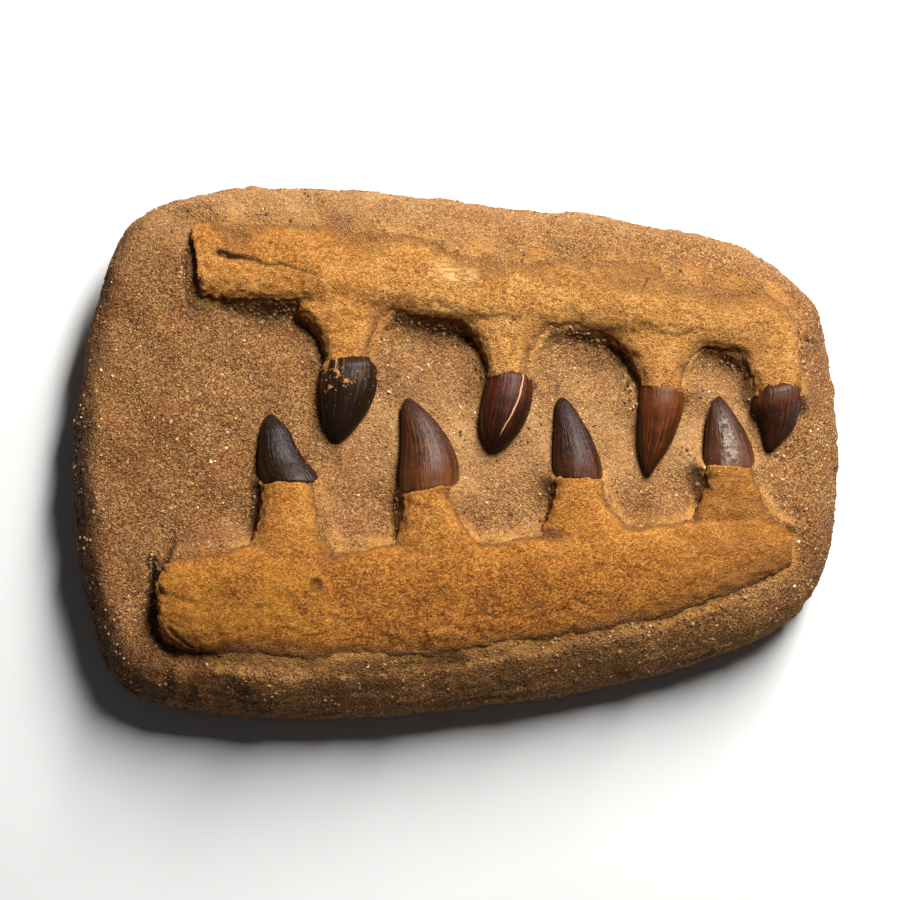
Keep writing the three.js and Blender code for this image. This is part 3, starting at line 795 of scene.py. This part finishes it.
def crown_points(tooth, angle, share, ridge, seed):
    """Where the blank's vertices go. Share is 0 at the base and 1 at the tip, and -1 where it is sunk."""
    down, across, out = tooth_directions(tooth)
    base, tip = np.array(tooth["base"]), np.array(tooth["tip"])
    sunk = share < 0
    t = 0.999 * np.sin(np.clip(share, 0, 1) * math.pi / 2) ** 1.15
    s = t[:, None]
    centre = base + (tip - base) * s
    ahead = (tip - base) / np.linalg.norm(tip - base)
    square = np.array([ahead[1], -ahead[0]]) * down
    blend = np.clip(2 * s, 0, 1)
    side = across * (1 - blend) + square * blend
    side /= np.linalg.norm(side, axis=1)[:, None]
    blunt = np.sqrt(1 - np.clip((t - BLUNT_FROM) / BLUNT_REACH, 0, 1) ** 2)
    left, right = through(tooth["left"], t) * blunt, through(tooth["right"], t) * blunt
    half = (left + right) / 2
    centre = centre + side * ((right - left) / 2)[:, None]
    cos, sin = np.cos(angle), np.sin(angle)
    column = np.stack([cos * COLUMN_RADIUS, sin * COLUMN_RADIUS], axis=1)
    around = np.column_stack([column, t * SHORT_COLUMN])
    fine = lumps(around, 0.9, octaves=2, seed=seed)
    broad = lumps(around, 5, octaves=2, seed=seed + 1)
    relief = (ridge * fine + 0.2 * broad) * np.clip(half / 6, 0, 1) * (0.4 + 0.6 * (1 - t))
    width = half + CROWN_GROWN + relief
    height = half * CROWN_THICKNESS + CROWN_GROWN + relief
    width[sunk] *= SUNK_SHARE
    height[sunk] *= SUNK_SHARE
    centre[sunk] -= out * (CROWN_SUNK + 0.3)
    flat = centre + side * (width * cos)[:, None]
    z = CROWN_AXIS + CROWN_TIP_RISE * t + height * sin
    return np.column_stack([flat, z]), np.column_stack([column, t * COLUMN_LENGTH])


def make_crown(name, tooth, seed):
    """A copy of the blank, bent to one tooth's shape."""
    crown = placed(name, blank.data.copy())
    points = points_of(crown)
    angle = np.arctan2(points[:, 1], points[:, 0])
    share = (points[:, 2].round() - 1) / (CROWN_RINGS - 1)
    share[points[:, 2] < 0.5] = -1
    moved, around = crown_points(tooth, angle, share, RIDGES[name], seed)
    middle = np.linalg.norm(points[:, :2], axis=1) < 0.5
    ends = points[:, 2] < 0.5
    for part in (ends, ~ends):
        if (middle & part).any():
            ring = part & ~middle & (np.abs(points[:, 2] - points[middle & part, 2][0]) < 0.5)
            moved[middle & part] = moved[ring].mean(0)
    move_points(crown, moved)
    attribute = crown.data.attributes.new("crown_place", "FLOAT_VECTOR", "POINT")
    attribute.data.foreach_set("vector", around.astype(np.float32).ravel())
    edit(crown, lambda: bpy.ops.mesh.normals_make_consistent(inside=False))
    return crown


crowns = {name: make_crown(name, tooth, 30 + 2 * k) for k, (name, tooth) in enumerate(TEETH.items())}
bpy.data.objects.remove(blank)
print(len(crowns), "crowns")

# %% [markdown]
# Sand is grains, not a smooth skin. The finest are left to the finish. The larger ones are real: one
# grain is modelled, a few-sided pebble, and thousands of copies of all sizes are sunk into the bed.
# They lie thickest on the worn edges and between the jaws. Pale chips lie among them, and coarse
# crumbs lie in the dark hollows.

# %% A pebble and its copies
def blank_pebble(name, jitter):
    """A small round pebble, made uneven."""
    bpy.ops.object.select_all(action="DESELECT")
    bpy.ops.mesh.primitive_ico_sphere_add(subdivisions=1, radius=1 * MM)
    pebble = named(name)
    points = points_of(pebble)
    move_points(pebble, points * chance.uniform(1 - jitter, 1 + jitter, (len(points), 1)))
    return pebble


def turned(count):
    """Random turns, as 3 by 3 matrices."""
    q = chance.normal(size=(count, 4))
    w, x, y, z = (q / np.linalg.norm(q, axis=1)[:, None]).T
    rows = [[1 - 2 * (y * y + z * z), 2 * (x * y - w * z), 2 * (x * z + w * y)],
            [2 * (x * y + w * z), 1 - 2 * (x * x + z * z), 2 * (y * z - w * x)],
            [2 * (x * z - w * y), 2 * (y * z + w * x), 1 - 2 * (x * x + y * y)]]
    return np.moveaxis(np.array(rows), 2, 0)


def scatter(name, blank, surface, sizes, kind):
    """Copies of one pebble over a surface, joined into one piece, each with its own tone."""
    mesh = surface.data
    count = len(mesh.polygons)
    centre, normal = np.zeros(count * 3, np.float32), np.zeros(count * 3, np.float32)
    area = np.zeros(count, np.float32)
    mesh.polygons.foreach_get("center", centre)
    mesh.polygons.foreach_get("normal", normal)
    mesh.polygons.foreach_get("area", area)
    centre, normal = centre.reshape(-1, 3) / MM, normal.reshape(-1, 3)
    odds = area * kind["weight"](centre, normal)
    picked = chance.choice(count, size=len(sizes), p=odds / odds.sum())
    shape = points_of(blank)
    stretch = chance.uniform(kind["flatness"], 1.0, (len(sizes), 1, 3))
    grains = shape[None] * stretch * sizes[:, None, None]
    grains = np.einsum("nij,nkj->nki", turned(len(sizes)), grains)
    slide = chance.uniform(-0.5, 0.5, (len(sizes), 3))
    place = centre[picked] + slide - normal[picked] * (slide * normal[picked]).sum(1)[:, None]
    place -= normal[picked] * (kind["sunk"] * sizes)[:, None]
    grains += place[:, None]
    faces = np.array([tuple(p.vertices) for p in blank.data.polygons])
    joined = faces[None] + (np.arange(len(sizes)) * len(shape))[:, None, None]
    made = bpy.data.meshes.new(name)
    made.from_pydata((grains.reshape(-1, 3) * MM).tolist(), [], joined.reshape(-1, 3).tolist())
    piece = placed(name, made)
    keep_values(piece, "tone", np.repeat(chance.uniform(0, 1, len(sizes)), len(shape)))
    bpy.data.objects.remove(blank)
    return piece


# %% Where grains, chips and crumbs lie
BARE_BELOW = 32  # no bone covers the stone below this height


def bare_stone(centre):
    """1 where the stone isn't covered by bone, and 0 where it is."""
    open_air = np.ones(len(centre))
    top = np.flatnonzero(centre[:, 2] > BARE_BELOW)
    gap = np.minimum(*(distance_to(tree, centre[top], 2) for tree in bone_surfaces))
    open_air[top] = gap > 0.1
    return open_air


def grain_weight(centre, normal):
    """How thickly sand grains lie: in patches, most on worn edges and between the jaws."""
    edge = 1 - smoothstep(normal[:, 2], 0.3, 0.95)
    middle = bell(centre[:, 1], 5, 45)
    patches = 0.5 + 0.8 * lumps(centre, 14, octaves=2, seed=41)
    open_air = bare_stone(centre) * (centre[:, 2] > 1.5)
    return open_air * np.clip(patches, 0.1, 2) * (0.5 + 1.2 * edge + 0.6 * middle)


def chip_weight(centre, normal):
    """How thickly pale chips lie: on the flat bed, most between the jaws."""
    middle = bell(centre[:, 1], 5, 34)
    return bare_stone(centre) * (normal[:, 2] > 0.5) * (0.08 + middle)


CRUMBS_STOP = -90  # no crumb lies at a lower y than this


def crumb_weight(centre, normal):
    """How thickly crumbs lie: along the hollows, and most where their painted shade is darkest."""
    near = np.zeros(len(centre))
    for way, width, _, dark in HOLLOWS:
        near = np.maximum(near, dark * bell(beside(centre, way)[0], 0, width * 0.9))
    return bare_stone(centre) * near * (normal[:, 2] > 0.2) * (centre[:, 1] > CRUMBS_STOP)


# %% Grains, chips and crumbs over the block
# of each kind: where it lies, how many, the smallest radius, how the sizes spread above it and where
# they stop, how uneven and how flat its pebbles are, and the share of the radius that is sunk
LOOSE = {
    "sand_grains": dict(weight=grain_weight, count=8500, least=0.3, spread=0.32, shape=1.6, cap=3.2,
                        uneven=0.2, flatness=0.6, sunk=0.35),
    "pale_chips": dict(weight=chip_weight, count=260, least=0.3, spread=0.22, shape=1.5, cap=4,
                       uneven=0.3, flatness=0.4, sunk=0.1),
    # the crumbs are real grains, and their dark tones add to the painted shade in the hollows
    "dark_crumbs": dict(weight=crumb_weight, count=1100, least=0.45, spread=0.3, shape=1.5, cap=3.5,
                        uneven=0.3, flatness=0.6, sunk=0.2),
}


def strew(name, kind):
    """Draws the sizes of one kind, models its pebble and lays the copies over the stone."""
    drawn = chance.gamma(kind["shape"], 1, kind["count"]).clip(0, kind["cap"])
    pebble = blank_pebble(f"{name}_blank", kind["uneven"])
    piece = scatter(name, pebble, stone, kind["least"] + kind["spread"] * drawn, kind)
    trim_to_packed_box(piece)
    print(name, len(piece.data.polygons), "faces")
    return piece


loose = {name: strew(name, kind) for name, kind in LOOSE.items()}

# %% [markdown]
# Sand clings to the bones too: along the foot of their flanks, over the upper jaw's back border and
# the lower jaw's lower one, where they fade into the bed, and over most of the right half. How sandy
# each vertex is gets worked out here and kept with the mesh, so that the finish can lay sand there.

# %% Sand on the bones
def dust_bone(bone, dark, covered):
    """Keeps the sand that lies on a bone and the painted shade in its cuts, and gives the sandy share."""
    points, normals = points_of(bone), normals_of(bone)
    gap = distance_to(surface_of(stone), points, 6)
    low = 1 - smoothstep(gap, 0.2, 3.2)
    patches = lumps(points, 22, octaves=3, seed=51)
    small = lumps(points, 6, octaves=2, seed=52)
    steep = 1 - smoothstep(normals[:, 2], 0.2, 0.8)
    sand = covered(points) + 0.22 * patches + 0.16 * small + 0.9 * low + 0.12 * steep
    keep_values(bone, "sand", sand)
    keep_values(bone, "bank", 1 - smoothstep(gap, 0.1, 2.2))
    keep_values(bone, "dark", dark)
    return float(np.clip(sand, 0, 1).mean())


def upper_cover(points):
    """How sandy the upper jaw is, before patches."""
    x, y = points[:, 0], points[:, 1]
    back = smoothstep(y - np.interp(x, [-114, -40, 28, 98, 150], [100, 98, 88, 79, 60]), -9, 1)
    right = smoothstep(x, -10, 70)
    return 0.14 + back * (0.35 + 0.4 * smoothstep(x, -40, 20)) + 0.4 * right


def lower_cover(points):
    """How sandy the lower jaw is, before patches."""
    x, y = points[:, 0], points[:, 1]
    right = smoothstep(x, 40, 125)
    foot = smoothstep(-y - np.interp(x, [-127, -55, 32, 112, 145], [80, 97, 88, 68, 52]), -7, 1)
    return 0.1 + 0.5 * right + (0.3 + 0.35 * smoothstep(x, 0, 80)) * foot


print("sandy share", round(dust_bone(upper_bone, upper_painted_shade, upper_cover), 2),
      round(dust_bone(lower_bone, lower_painted_shade, lower_cover), 2))

# %% [markdown]
# A finish is worked out as sums on values that change over the surface. The two small classes below
# let those sums be written as plain expressions, and every other node comes from one method.

# %% Writing finishes as sums
class Value:
    """One socket of a finish, with the sums that are used on it."""

    def __init__(self, finish, socket):
        self.finish = finish
        self.socket = socket

    def other(self, output):
        """Another output of the same node."""
        return Value(self.finish, self.socket.node.outputs[output])

    def sum(self, operation, first, second):
        return self.finish.node("ShaderNodeMath", {"operation": operation}, {0: first, 1: second})

    def __add__(self, other):
        return self.sum("ADD", self, other)

    def __sub__(self, other):
        return self.sum("SUBTRACT", self, other)

    def __rsub__(self, other):
        return self.sum("SUBTRACT", other, self)

    def __mul__(self, other):
        return self.sum("MULTIPLY", self, other)

    __radd__ = __add__
    __rmul__ = __mul__

    def step(self, low, high):
        """0 below low, 1 above high, and a smooth change between them."""
        return self.finish.node("ShaderNodeMapRange", {"interpolation_type": "SMOOTHSTEP"},
                                {"Value": self, "From Min": low, "From Max": high})

    def within(self, low, high):
        """1 between two edges, each a pair of values over which it fades, and 0 beyond them."""
        return self.step(*low) * (1 - self.step(*high))


class Finish:
    """One material while its nodes are put together."""

    def __init__(self, name):
        self.material = bpy.data.materials.new(name)
        self.material.use_nodes = True
        self.tree = self.material.node_tree
        self.shader = self.tree.nodes["Principled BSDF"]
        self.place = self.node("ShaderNodeTexCoord", output="Object")

    def node(self, kind, settings=None, inputs=None, output=0):
        """Adds a node with these settings, feeds its inputs and gives one of its outputs."""
        made = self.tree.nodes.new(kind)
        for key, value in (settings or {}).items():
            if key == "stops":
                ramp = made.color_ramp.elements
                for k, (place, colour) in enumerate(value):
                    stop = ramp[k] if k < 2 else ramp.new(place)
                    stop.position, stop.color = place, colour
            else:
                setattr(made, key, value)
        for key, value in (inputs or {}).items():
            if isinstance(value, Value):
                self.tree.links.new(value.socket, made.inputs[key])
            else:
                made.inputs[key].default_value = value
        return Value(self, made.outputs[output])

    def from_above(self):
        """Where on the piece, seen from above, in millimetres."""
        split = self.node("ShaderNodeSeparateXYZ", None, {0: self.place})
        return split * (1 / MM), split.other(1) * (1 / MM)

    def kept(self, name, output="Fac"):
        """A value that was kept with the mesh."""
        return self.node("ShaderNodeAttribute", {"attribute_name": name}, output=output)

    def stretched(self, place, scale):
        """Below 1, the scale draws a pattern out that way."""
        return self.node("ShaderNodeVectorMath", {"operation": "MULTIPLY"}, {0: place, 1: scale})

    def clouds(self, place, size, detail=3.0, rough=0.55):
        """Soft noise from 0 to 1 with patches of this size in millimetres."""
        return self.node("ShaderNodeTexNoise", None,
                         {"Vector": place, "Scale": 1 / (size * MM), "Detail": detail, "Roughness": rough})

    def cells(self, place, size):
        """Grains of this size in millimetres: the distance from each grain's middle."""
        return self.node("ShaderNodeTexVoronoi", None, {"Vector": place, "Scale": 1 / (size * MM)})

    def luck(self, cells):
        """A random number for each grain."""
        return self.node("ShaderNodeSeparateColor", None, {0: cells.other("Color")})

    def ramp(self, value, stops):
        """A colour for each value, from stops that pair a value with a colour."""
        return self.node("ShaderNodeValToRGB", {"stops": stops}, {0: value})

    def mix(self, share, first, second, kind="MIX"):
        """The first colour where the share is 0, and the second where it is 1."""
        return self.node("ShaderNodeMix", {"data_type": "RGBA", "blend_type": kind},
                         {0: share, 6: first, 7: second}, output=2)

    def relief(self, height, millimetres=1.0):
        """Feeds a height, in this many millimetres, to the shader as relief."""
        bump = self.node("ShaderNodeBump", None,
                         {"Strength": 1.0, "Distance": millimetres * MM, "Height": height})
        self.wear("Normal", bump)

    def wear(self, name, value):
        """Feeds one of the shader's sockets."""
        if isinstance(value, Value):
            self.tree.links.new(value.socket, self.shader.inputs[name])
        else:
            self.shader.inputs[name].default_value = value


def paint(red, green, blue):
    """A colour as seen, from 0 to 255 each, as the amounts of light that Blender counts in."""
    parts = (c / 255 for c in (red, green, blue))
    return tuple(c / 12.92 if c <= 0.04045 else ((c + 0.055) / 1.055) ** 2.4 for c in parts) + (1.0,)


# %% [markdown]
# The sand's grains are about half a millimetre to two millimetres across. Each has its own tone, from
# dark brown through tan to cream, and there is shade between them. The bone's own look has broad
# patches of ochre, a grain of its own, dark specks and tiny open pores. Where the kept sand value is
# high, the same sand lies over it, grain by grain.

# %% Sand, for the block and for the dust on the bones
SAND_TONES = [
    (0.0, paint(48, 27, 11)),
    (0.28, paint(98, 63, 31)),
    (0.6, paint(144, 101, 56)),
    (0.88, paint(178, 136, 86)),
    (1.0, paint(222, 194, 152)),
]


def sand_look(finish):
    """The colour and the height, in millimetres, of loose sand."""
    fine = finish.cells(finish.place, 0.62)
    coarse = finish.cells(finish.place, 1.7)
    tone = finish.luck(fine) * 0.62 + finish.clouds(finish.place, 0.7, 3.0, 0.7) * 0.8 - 0.18
    colour = finish.ramp(tone, SAND_TONES)
    broad = finish.clouds(finish.place, 24, 4.0, 0.6)
    colour = finish.mix(broad.step(0.35, 0.7) * 0.4, colour, paint(206, 148, 92), "MULTIPLY")
    between = fine.step(0.42, 0.8)
    colour = finish.mix(between * 0.65, colour, paint(50, 26, 11))
    sparse = finish.luck(coarse).step(0.5, 0.7)
    dome = (1 - coarse.step(0.1, 0.5)) * sparse
    height = (1 - fine.step(0.0, 0.75)) * 0.26 + dome * 0.4 + finish.clouds(finish.place, 2.6, 3.0) * 0.8
    return colour, height


def sandstone_finish():
    """Sand, with the stone's stains, painted shade in its hollows, down its left wall and in its lower
    left corner, and painted light where it is paler.
    """
    finish = Finish("sandstone_finish")
    colour, height = sand_look(finish)
    stain = finish.kept("stain") * (finish.clouds(finish.place, 3, 4.0, 0.65) + 0.35)
    colour = finish.mix(stain.step(0.1, 1.0) * 0.35, colour, paint(206, 146, 68))
    # painted light where the sand is paler, between the jaws and along the back
    colour = finish.mix(finish.kept("pale") * 0.26, colour, paint(214, 166, 112))
    # painted shade in the lower left corner, in dark streaks, with its relief smoothed
    corner_shade = finish.kept("corner_shade")
    streaks = finish.clouds(finish.stretched(finish.place, (0.2, 0.2, 1)), 1.4, 4.0, 0.6)
    corner_shade_colour = finish.ramp(streaks, [(0.3, paint(58, 34, 16)), (0.7, paint(132, 84, 42))])
    colour = finish.mix(corner_shade * 0.85, colour, corner_shade_colour)
    # painted shade in the hollows and down the walls that face away from the lamp
    hollow_and_wall_shade = finish.kept("dark") * (finish.clouds(finish.place, 2.2, 4.0, 0.7) * 1.4)
    colour = finish.mix(hollow_and_wall_shade.step(0.05, 0.95) * 0.85, colour, paint(34, 19, 9))
    finish.wear("Base Color", colour)
    finish.wear("Roughness", 0.95)
    finish.wear("Specular IOR Level", 0.2)
    finish.relief(height * (1 - corner_shade * 0.75))
    return finish.material


def loose_finish(name, stops):
    """Grains that lie loose, each with its own kept tone."""
    finish = Finish(name)
    speck = finish.clouds(finish.place, 0.5, 2.0)
    colour = finish.ramp(finish.kept("tone") * 0.8 + speck * 0.25, stops)
    finish.wear("Base Color", colour)
    finish.wear("Roughness", 0.9)
    finish.relief(speck, 0.25)
    return finish.material


# %% Ochre bone
def bone_finish(name, deep, ochre, light, patches):
    """Ochre bone in three tones, with what patches adds to it, under dust, with painted shade in its cuts.
    """
    finish = Finish(name)
    place = finish.place
    streak = finish.clouds(finish.stretched(place, (0.2, 1, 1)), 1.3, 3.0, 0.6)
    mottle = finish.clouds(place, 13, 6.0, 0.7)
    grit = finish.clouds(place, 1.1, 4.0, 0.85)
    grain = finish.cells(place, 0.75)
    tone = mottle * 0.56 + streak * 0.14 + grit * 0.66 + finish.luck(grain) * 0.46 - 0.41
    colour = finish.ramp(tone, [(0.15, deep), (0.48, ochre), (0.85, light)])
    specks = finish.luck(finish.cells(place, 0.9)).step(0.76, 0.84) * (1 - grit.step(0.42, 0.6))
    colour = finish.mix(specks * 0.7, colour, paint(84, 44, 14))
    pore = finish.cells(place, 3.1)
    holes = (1 - pore.step(0.06, 0.15)) * finish.luck(pore).step(0.55, 0.7)
    colour = finish.mix(holes * 0.75, colour, paint(60, 28, 8))
    height = streak * 0.15 + grit * 1.15 - holes * 0.35 - grain.step(0.25, 0.7) * 0.26
    colour, height = patches(finish, colour, height, tone)
    sand_colour, sand_height = sand_look(finish)
    drift = finish.clouds(place, 5, 5.0, 0.75) * 1.1 + finish.luck(grain) * 0.3
    cover = (finish.kept("sand") + drift - 0.75).step(0.3, 0.85)
    bank = finish.kept("bank") * 0.55
    buried = finish.kept("sand").step(0.6, 1.0) * 0.35
    dust = finish.mix(0.5 - bank * 0.6, sand_colour, ochre)
    colour = finish.mix(cover * (bank + buried + 0.4), colour, dust)
    # painted shade in the bone's cracks, ledges and pits
    colour = finish.mix(finish.kept("dark") * 0.85, colour, paint(40, 20, 8))
    finish.wear("Base Color", colour)
    finish.wear("Roughness", 0.88)
    finish.wear("Specular IOR Level", 0.22)
    finish.relief(height + cover * sand_height * 0.8)
    return finish.material


def upper_patches(finish, colour, height, tone):
    """A pale, torn patch of fibres in the middle of the upper jaw, and rust towards the throat."""
    x, y = finish.from_above()
    ragged = finish.clouds(finish.place, 4, 3.0, 0.6) * 5 - 2.5
    x, y = x + ragged * 0.3, y + ragged
    inside = x.within((-14, -3), (8.6, 11)) * y.within((66, 70), (77, 82))
    rusty = finish.ramp(tone, [(0.12, paint(104, 52, 10)), (0.5, paint(172, 108, 40)),
                               (0.88, paint(210, 154, 82))])
    colour = finish.mix((1 - x.step(-75, 10)) * 0.7, colour, rusty)
    torn = finish.clouds(finish.stretched(finish.place, (0.3, 1, 1)), 1.5, 3.0, 0.6)
    colour = finish.mix(inside * (torn.step(0.44, 0.62) * 0.42 + 0.03), colour, paint(216, 182, 130))
    return colour, height * (1 - inside * 0.4) + inside * torn * 1.1


def lower_patches(finish, colour, height, tone):
    """A smoother olive patch towards the throat, and paler roots and upper edge, partly painted light."""
    x, y = finish.from_above()
    worn = finish.clouds(finish.place, 18, 3.0)
    edge = x + (y + 65) * 0.51
    inside = (1 - edge.step(-57.5, -55)) * y.within((-92, -80), (-60, -52)) * worn.step(0.3, 0.5)
    olive = finish.ramp(tone, [(0.15, paint(110, 64, 14)), (0.85, paint(176, 119, 40))])
    colour = finish.mix(inside * 0.75, colour, olive)
    pale = finish.ramp(tone, [(0.12, paint(118, 62, 14)), (0.5, paint(170, 108, 40)),
                              (0.88, paint(212, 156, 82))])
    # paler over the roots and the upper edge: the roots' own tone, and painted light on the upper edge,
    # which faces the lamp
    colour = finish.mix(y.step(-62, -40) * 0.8, colour, pale)
    colour = finish.mix(x.step(60, 110) * 0.35, colour, pale)
    return colour, height * (1 - inside * 0.4)


# %% [markdown]
# Enamel is the one glossy thing here. It is red-brown with dark stripes, and gets darker towards the
# tip. Fine ridges run along it. Its base ends in a torn edge, with specks of rock stuck to it. One
# crown has patches of golden rock, one a pale healed crack, and one a chalky streak.

# %% Enamel
def enamel_finish(name, dark, warm, reach, crust, chalk=0.0, crack=None, patches=0.0):
    """Striped enamel. The crust is where rock ends, as a share of the crown from its base."""
    finish = Finish(name)
    place = finish.kept("crown_place", "Vector")
    split = finish.node("ShaderNodeSeparateXYZ", None, {0: place})
    side, along = split * (1 / COLUMN_RADIUS), split.other(2) * (1 / COLUMN_LENGTH)
    in_metres = finish.stretched(place, (MM, MM, MM))
    ridge_place = finish.stretched(in_metres, (1, 1, 0.1))
    ridges = finish.clouds(ridge_place, 0.65, 3.0, 0.65)
    soft = finish.clouds(in_metres, 5, 3.0, 0.6)
    stripes = finish.clouds(finish.stretched(in_metres, (1, 1, 0.06)), 1.7, 4.0, 0.75)
    share = soft * 0.5 + stripes * 1.0 - along * 0.3 - 0.2
    colour = finish.mix(share.step(reach[0], reach[1]), dark, warm)
    if chalk:
        grey = finish.clouds(in_metres, 2.2, 5.0, 0.7).step(0.44, 0.6)
        grey = grey * side.within((-0.5, -0.2), (0.1, 0.4)) * (1 - along.step(0.5, 0.9))
        colour = finish.mix(grey * chalk, colour, paint(158, 142, 126))
    if crack:
        line = side + along * crack[0] + (soft - 0.5) * 0.1 - crack[1]
        thin = (1 - (line * line).step(0.0002, 0.0016)) * (1 - along.step(0.7, 0.84))
        colour = finish.mix(thin * 0.85, colour, paint(196, 150, 98))
    torn = finish.clouds(in_metres, 4, 5.0, 0.7)
    stuck = 1 - (along + (torn - 0.5) * 0.8).step(crust, crust + 0.03)
    spots = finish.clouds(in_metres, 1.1, 2.0, 0.6).step(0.68, 0.74) * (1 - along.step(0.2, 0.75)) * 0.8
    if patches:
        large = finish.clouds(in_metres, 4, 4.0, 0.65) - along * 0.25 - side * 0.06
        spots = spots + large.step(0.53, 0.56) * patches
    grain = finish.luck(finish.cells(finish.place, 0.7)) + finish.clouds(finish.place, 1, 3.0)
    rock = finish.ramp(grain * 0.5, [(0.1, paint(112, 64, 20)), (0.5, paint(176, 118, 52)),
                                     (0.9, paint(214, 164, 98))])
    covered = finish.node("ShaderNodeMath", {"operation": "MAXIMUM"}, {0: stuck, 1: spots})
    colour = finish.mix(covered, colour, rock)
    finish.wear("Base Color", colour)
    finish.wear("Roughness", covered * 0.45 + ridges * 0.4 + 0.16)
    finish.wear("Specular IOR Level", 0.15)
    finish.wear("Coat Weight", (1 - covered) * 0.03)
    finish.wear("Coat Roughness", 0.25)
    finish.relief(ridges * 0.42 + covered * (finish.clouds(finish.place, 0.8, 2.0) * 0.4 + 0.25))
    return finish.material


ENAMELS = {
    "upper_crown_1": dict(dark=paint(28, 16, 10), warm=paint(74, 46, 26), reach=(0.4, 0.9), crust=-0.1,
                          patches=0.9),
    "upper_crown_2": dict(dark=paint(32, 13, 7), warm=paint(78, 33, 15), reach=(0.25, 0.75), crust=-0.14,
                          crack=(0.5, 0.58)),
    "upper_crown_3": dict(dark=paint(42, 18, 8), warm=paint(92, 46, 16), reach=(0.2, 0.65), crust=-0.14),
    "upper_crown_4": dict(dark=paint(38, 19, 10), warm=paint(84, 44, 24), reach=(0.3, 0.8), crust=-0.16),
    "lower_crown_1": dict(dark=paint(28, 15, 8), warm=paint(60, 34, 20), reach=(0.4, 0.9), crust=-0.2),
    "lower_crown_2": dict(dark=paint(50, 24, 11), warm=paint(100, 58, 30), reach=(0.25, 0.75), crust=-0.2),
    "lower_crown_3": dict(dark=paint(36, 17, 9), warm=paint(86, 46, 28), reach=(0.3, 0.8), crust=-0.12),
    "lower_crown_4": dict(dark=paint(44, 22, 13), warm=paint(90, 54, 36), reach=(0.2, 0.7), crust=-0.1,
                          chalk=0.7),
}

# %% [markdown]
# Each piece gets one finish. The loose grains don't share the stone's finish, because every one of them
# has a tone of its own.

# %% Dressing every piece
LOOSE_TONES = {
    "sand_grains": SAND_TONES,
    "pale_chips": [(0.0, paint(176, 128, 80)), (0.5, paint(206, 168, 120)), (1.0, paint(236, 216, 184))],
    "dark_crumbs": [(0.0, paint(52, 30, 14)), (0.5, paint(110, 72, 38)), (1.0, paint(188, 142, 94))],
}


def dress(piece, material, smooth=True):
    """Gives a piece its finish. Loose grains keep their flat faces, and so does the paper."""
    piece.data.materials.clear()
    piece.data.materials.append(material)
    if smooth:
        work_on(piece)
        bpy.ops.object.shade_smooth()


dress(stone, sandstone_finish())
for name, piece in loose.items():
    dress(piece, loose_finish(f"{name}_finish", LOOSE_TONES[name]), smooth=False)
dress(upper_bone, bone_finish("upper_bone_finish", paint(126, 70, 20), paint(176, 119, 54),
                              paint(212, 164, 98), upper_patches))
dress(lower_bone, bone_finish("lower_bone_finish", paint(76, 36, 8), paint(144, 85, 24),
                              paint(196, 132, 56), lower_patches))
for name, crown in crowns.items():
    dress(crown, enamel_finish(f"{name}_enamel", **ENAMELS[name]))
print(len(bpy.data.materials), "finishes")

# %% [markdown]
# Every piece rides on the one body that the imported model has, and the imported node that it stands
# for is hidden.

# %% Riding, and hiding the imported nodes
for piece in (stone, *loose.values()):
    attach(piece, "root")
    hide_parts("sandstone_block")
for jaw, bone in (("upper", upper_bone), ("lower", lower_bone)):
    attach(bone, "root")
    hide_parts(f"{jaw}_jaw")
    for name, crown in crowns.items():
        if name.startswith(jaw):
            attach(crown, "root")
            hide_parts(f"{jaw}_jaw")

# %% [markdown]
# The photograph is lit by one long soft lamp from the upper right, with weak light from all around,
# over pale paper that burns out to white. The camera looks down, 80 degrees above the paper.

# %% Floor, light and camera
PAPER_SIZE = 6
PAPER_DARKEST, PAPER_PALEST = paint(194, 194, 194), paint(198, 198, 198)


def build_floor():
    bpy.ops.object.select_all(action="DESELECT")
    bpy.ops.mesh.primitive_plane_add(size=PAPER_SIZE)
    floor = named("paper_floor")
    finish = Finish("paper")
    tone = finish.clouds(finish.place, 60, 2.0)
    finish.wear("Base Color", finish.mix(tone, PAPER_DARKEST, PAPER_PALEST))
    finish.wear("Roughness", 0.9)
    dress(floor, finish.material, smooth=False)


KEY_FROM = Vector((0.46, 0.75, 1.0)).normalized()
KEY_DISTANCE = 1.4
KEY_WIDTH, KEY_LENGTH = 0.3, 1.15
KEY_WATTS = 59
LIGHT_ALL_ROUND = 0.06


def build_light():
    lamp = bpy.data.lights.new("key_lamp", "AREA")
    lamp.shape = "RECTANGLE"
    lamp.size = KEY_WIDTH
    lamp.size_y = KEY_LENGTH
    lamp.energy = KEY_WATTS
    lamp.color = (1.0, 0.99, 0.97)
    key = placed("key_lamp", lamp)
    key.location = KEY_FROM * KEY_DISTANCE
    across = (Vector((1, 0, 0)) - KEY_FROM * KEY_FROM.x).normalized()
    turn = Matrix((across, KEY_FROM.cross(across), KEY_FROM)).transposed()
    key.rotation_euler = turn.to_euler()
    world = bpy.data.worlds.new("studio")
    world.use_nodes = True
    sky = world.node_tree.nodes["Background"].inputs
    sky["Color"].default_value = (1, 1, 1, 1)
    sky["Strength"].default_value = LIGHT_ALL_ROUND
    bpy.context.scene.world = world
    bpy.context.scene.view_settings.view_transform = "Standard"


CAMERA_TARGET = Vector((-2.38, -0.65, 30.0)) * MM
CAMERA_DISTANCE = 1.103
CAMERA_ELEVATION = math.radians(80)


def build_camera():
    camera = bpy.data.cameras.new("camera")
    camera.lens = 100
    camera.sensor_width = 36
    seen = placed("camera", camera)
    back = Vector((0, -math.cos(CAMERA_ELEVATION), math.sin(CAMERA_ELEVATION)))
    seen.location = CAMERA_TARGET + back * CAMERA_DISTANCE
    seen.rotation_euler = (math.pi / 2 - CAMERA_ELEVATION, 0, 0)
    bpy.context.scene.camera = seen


build_floor()
build_light()
build_camera()
print("camera", round(CAMERA_DISTANCE, 2), "m away, lamp", KEY_DISTANCE, "m away")
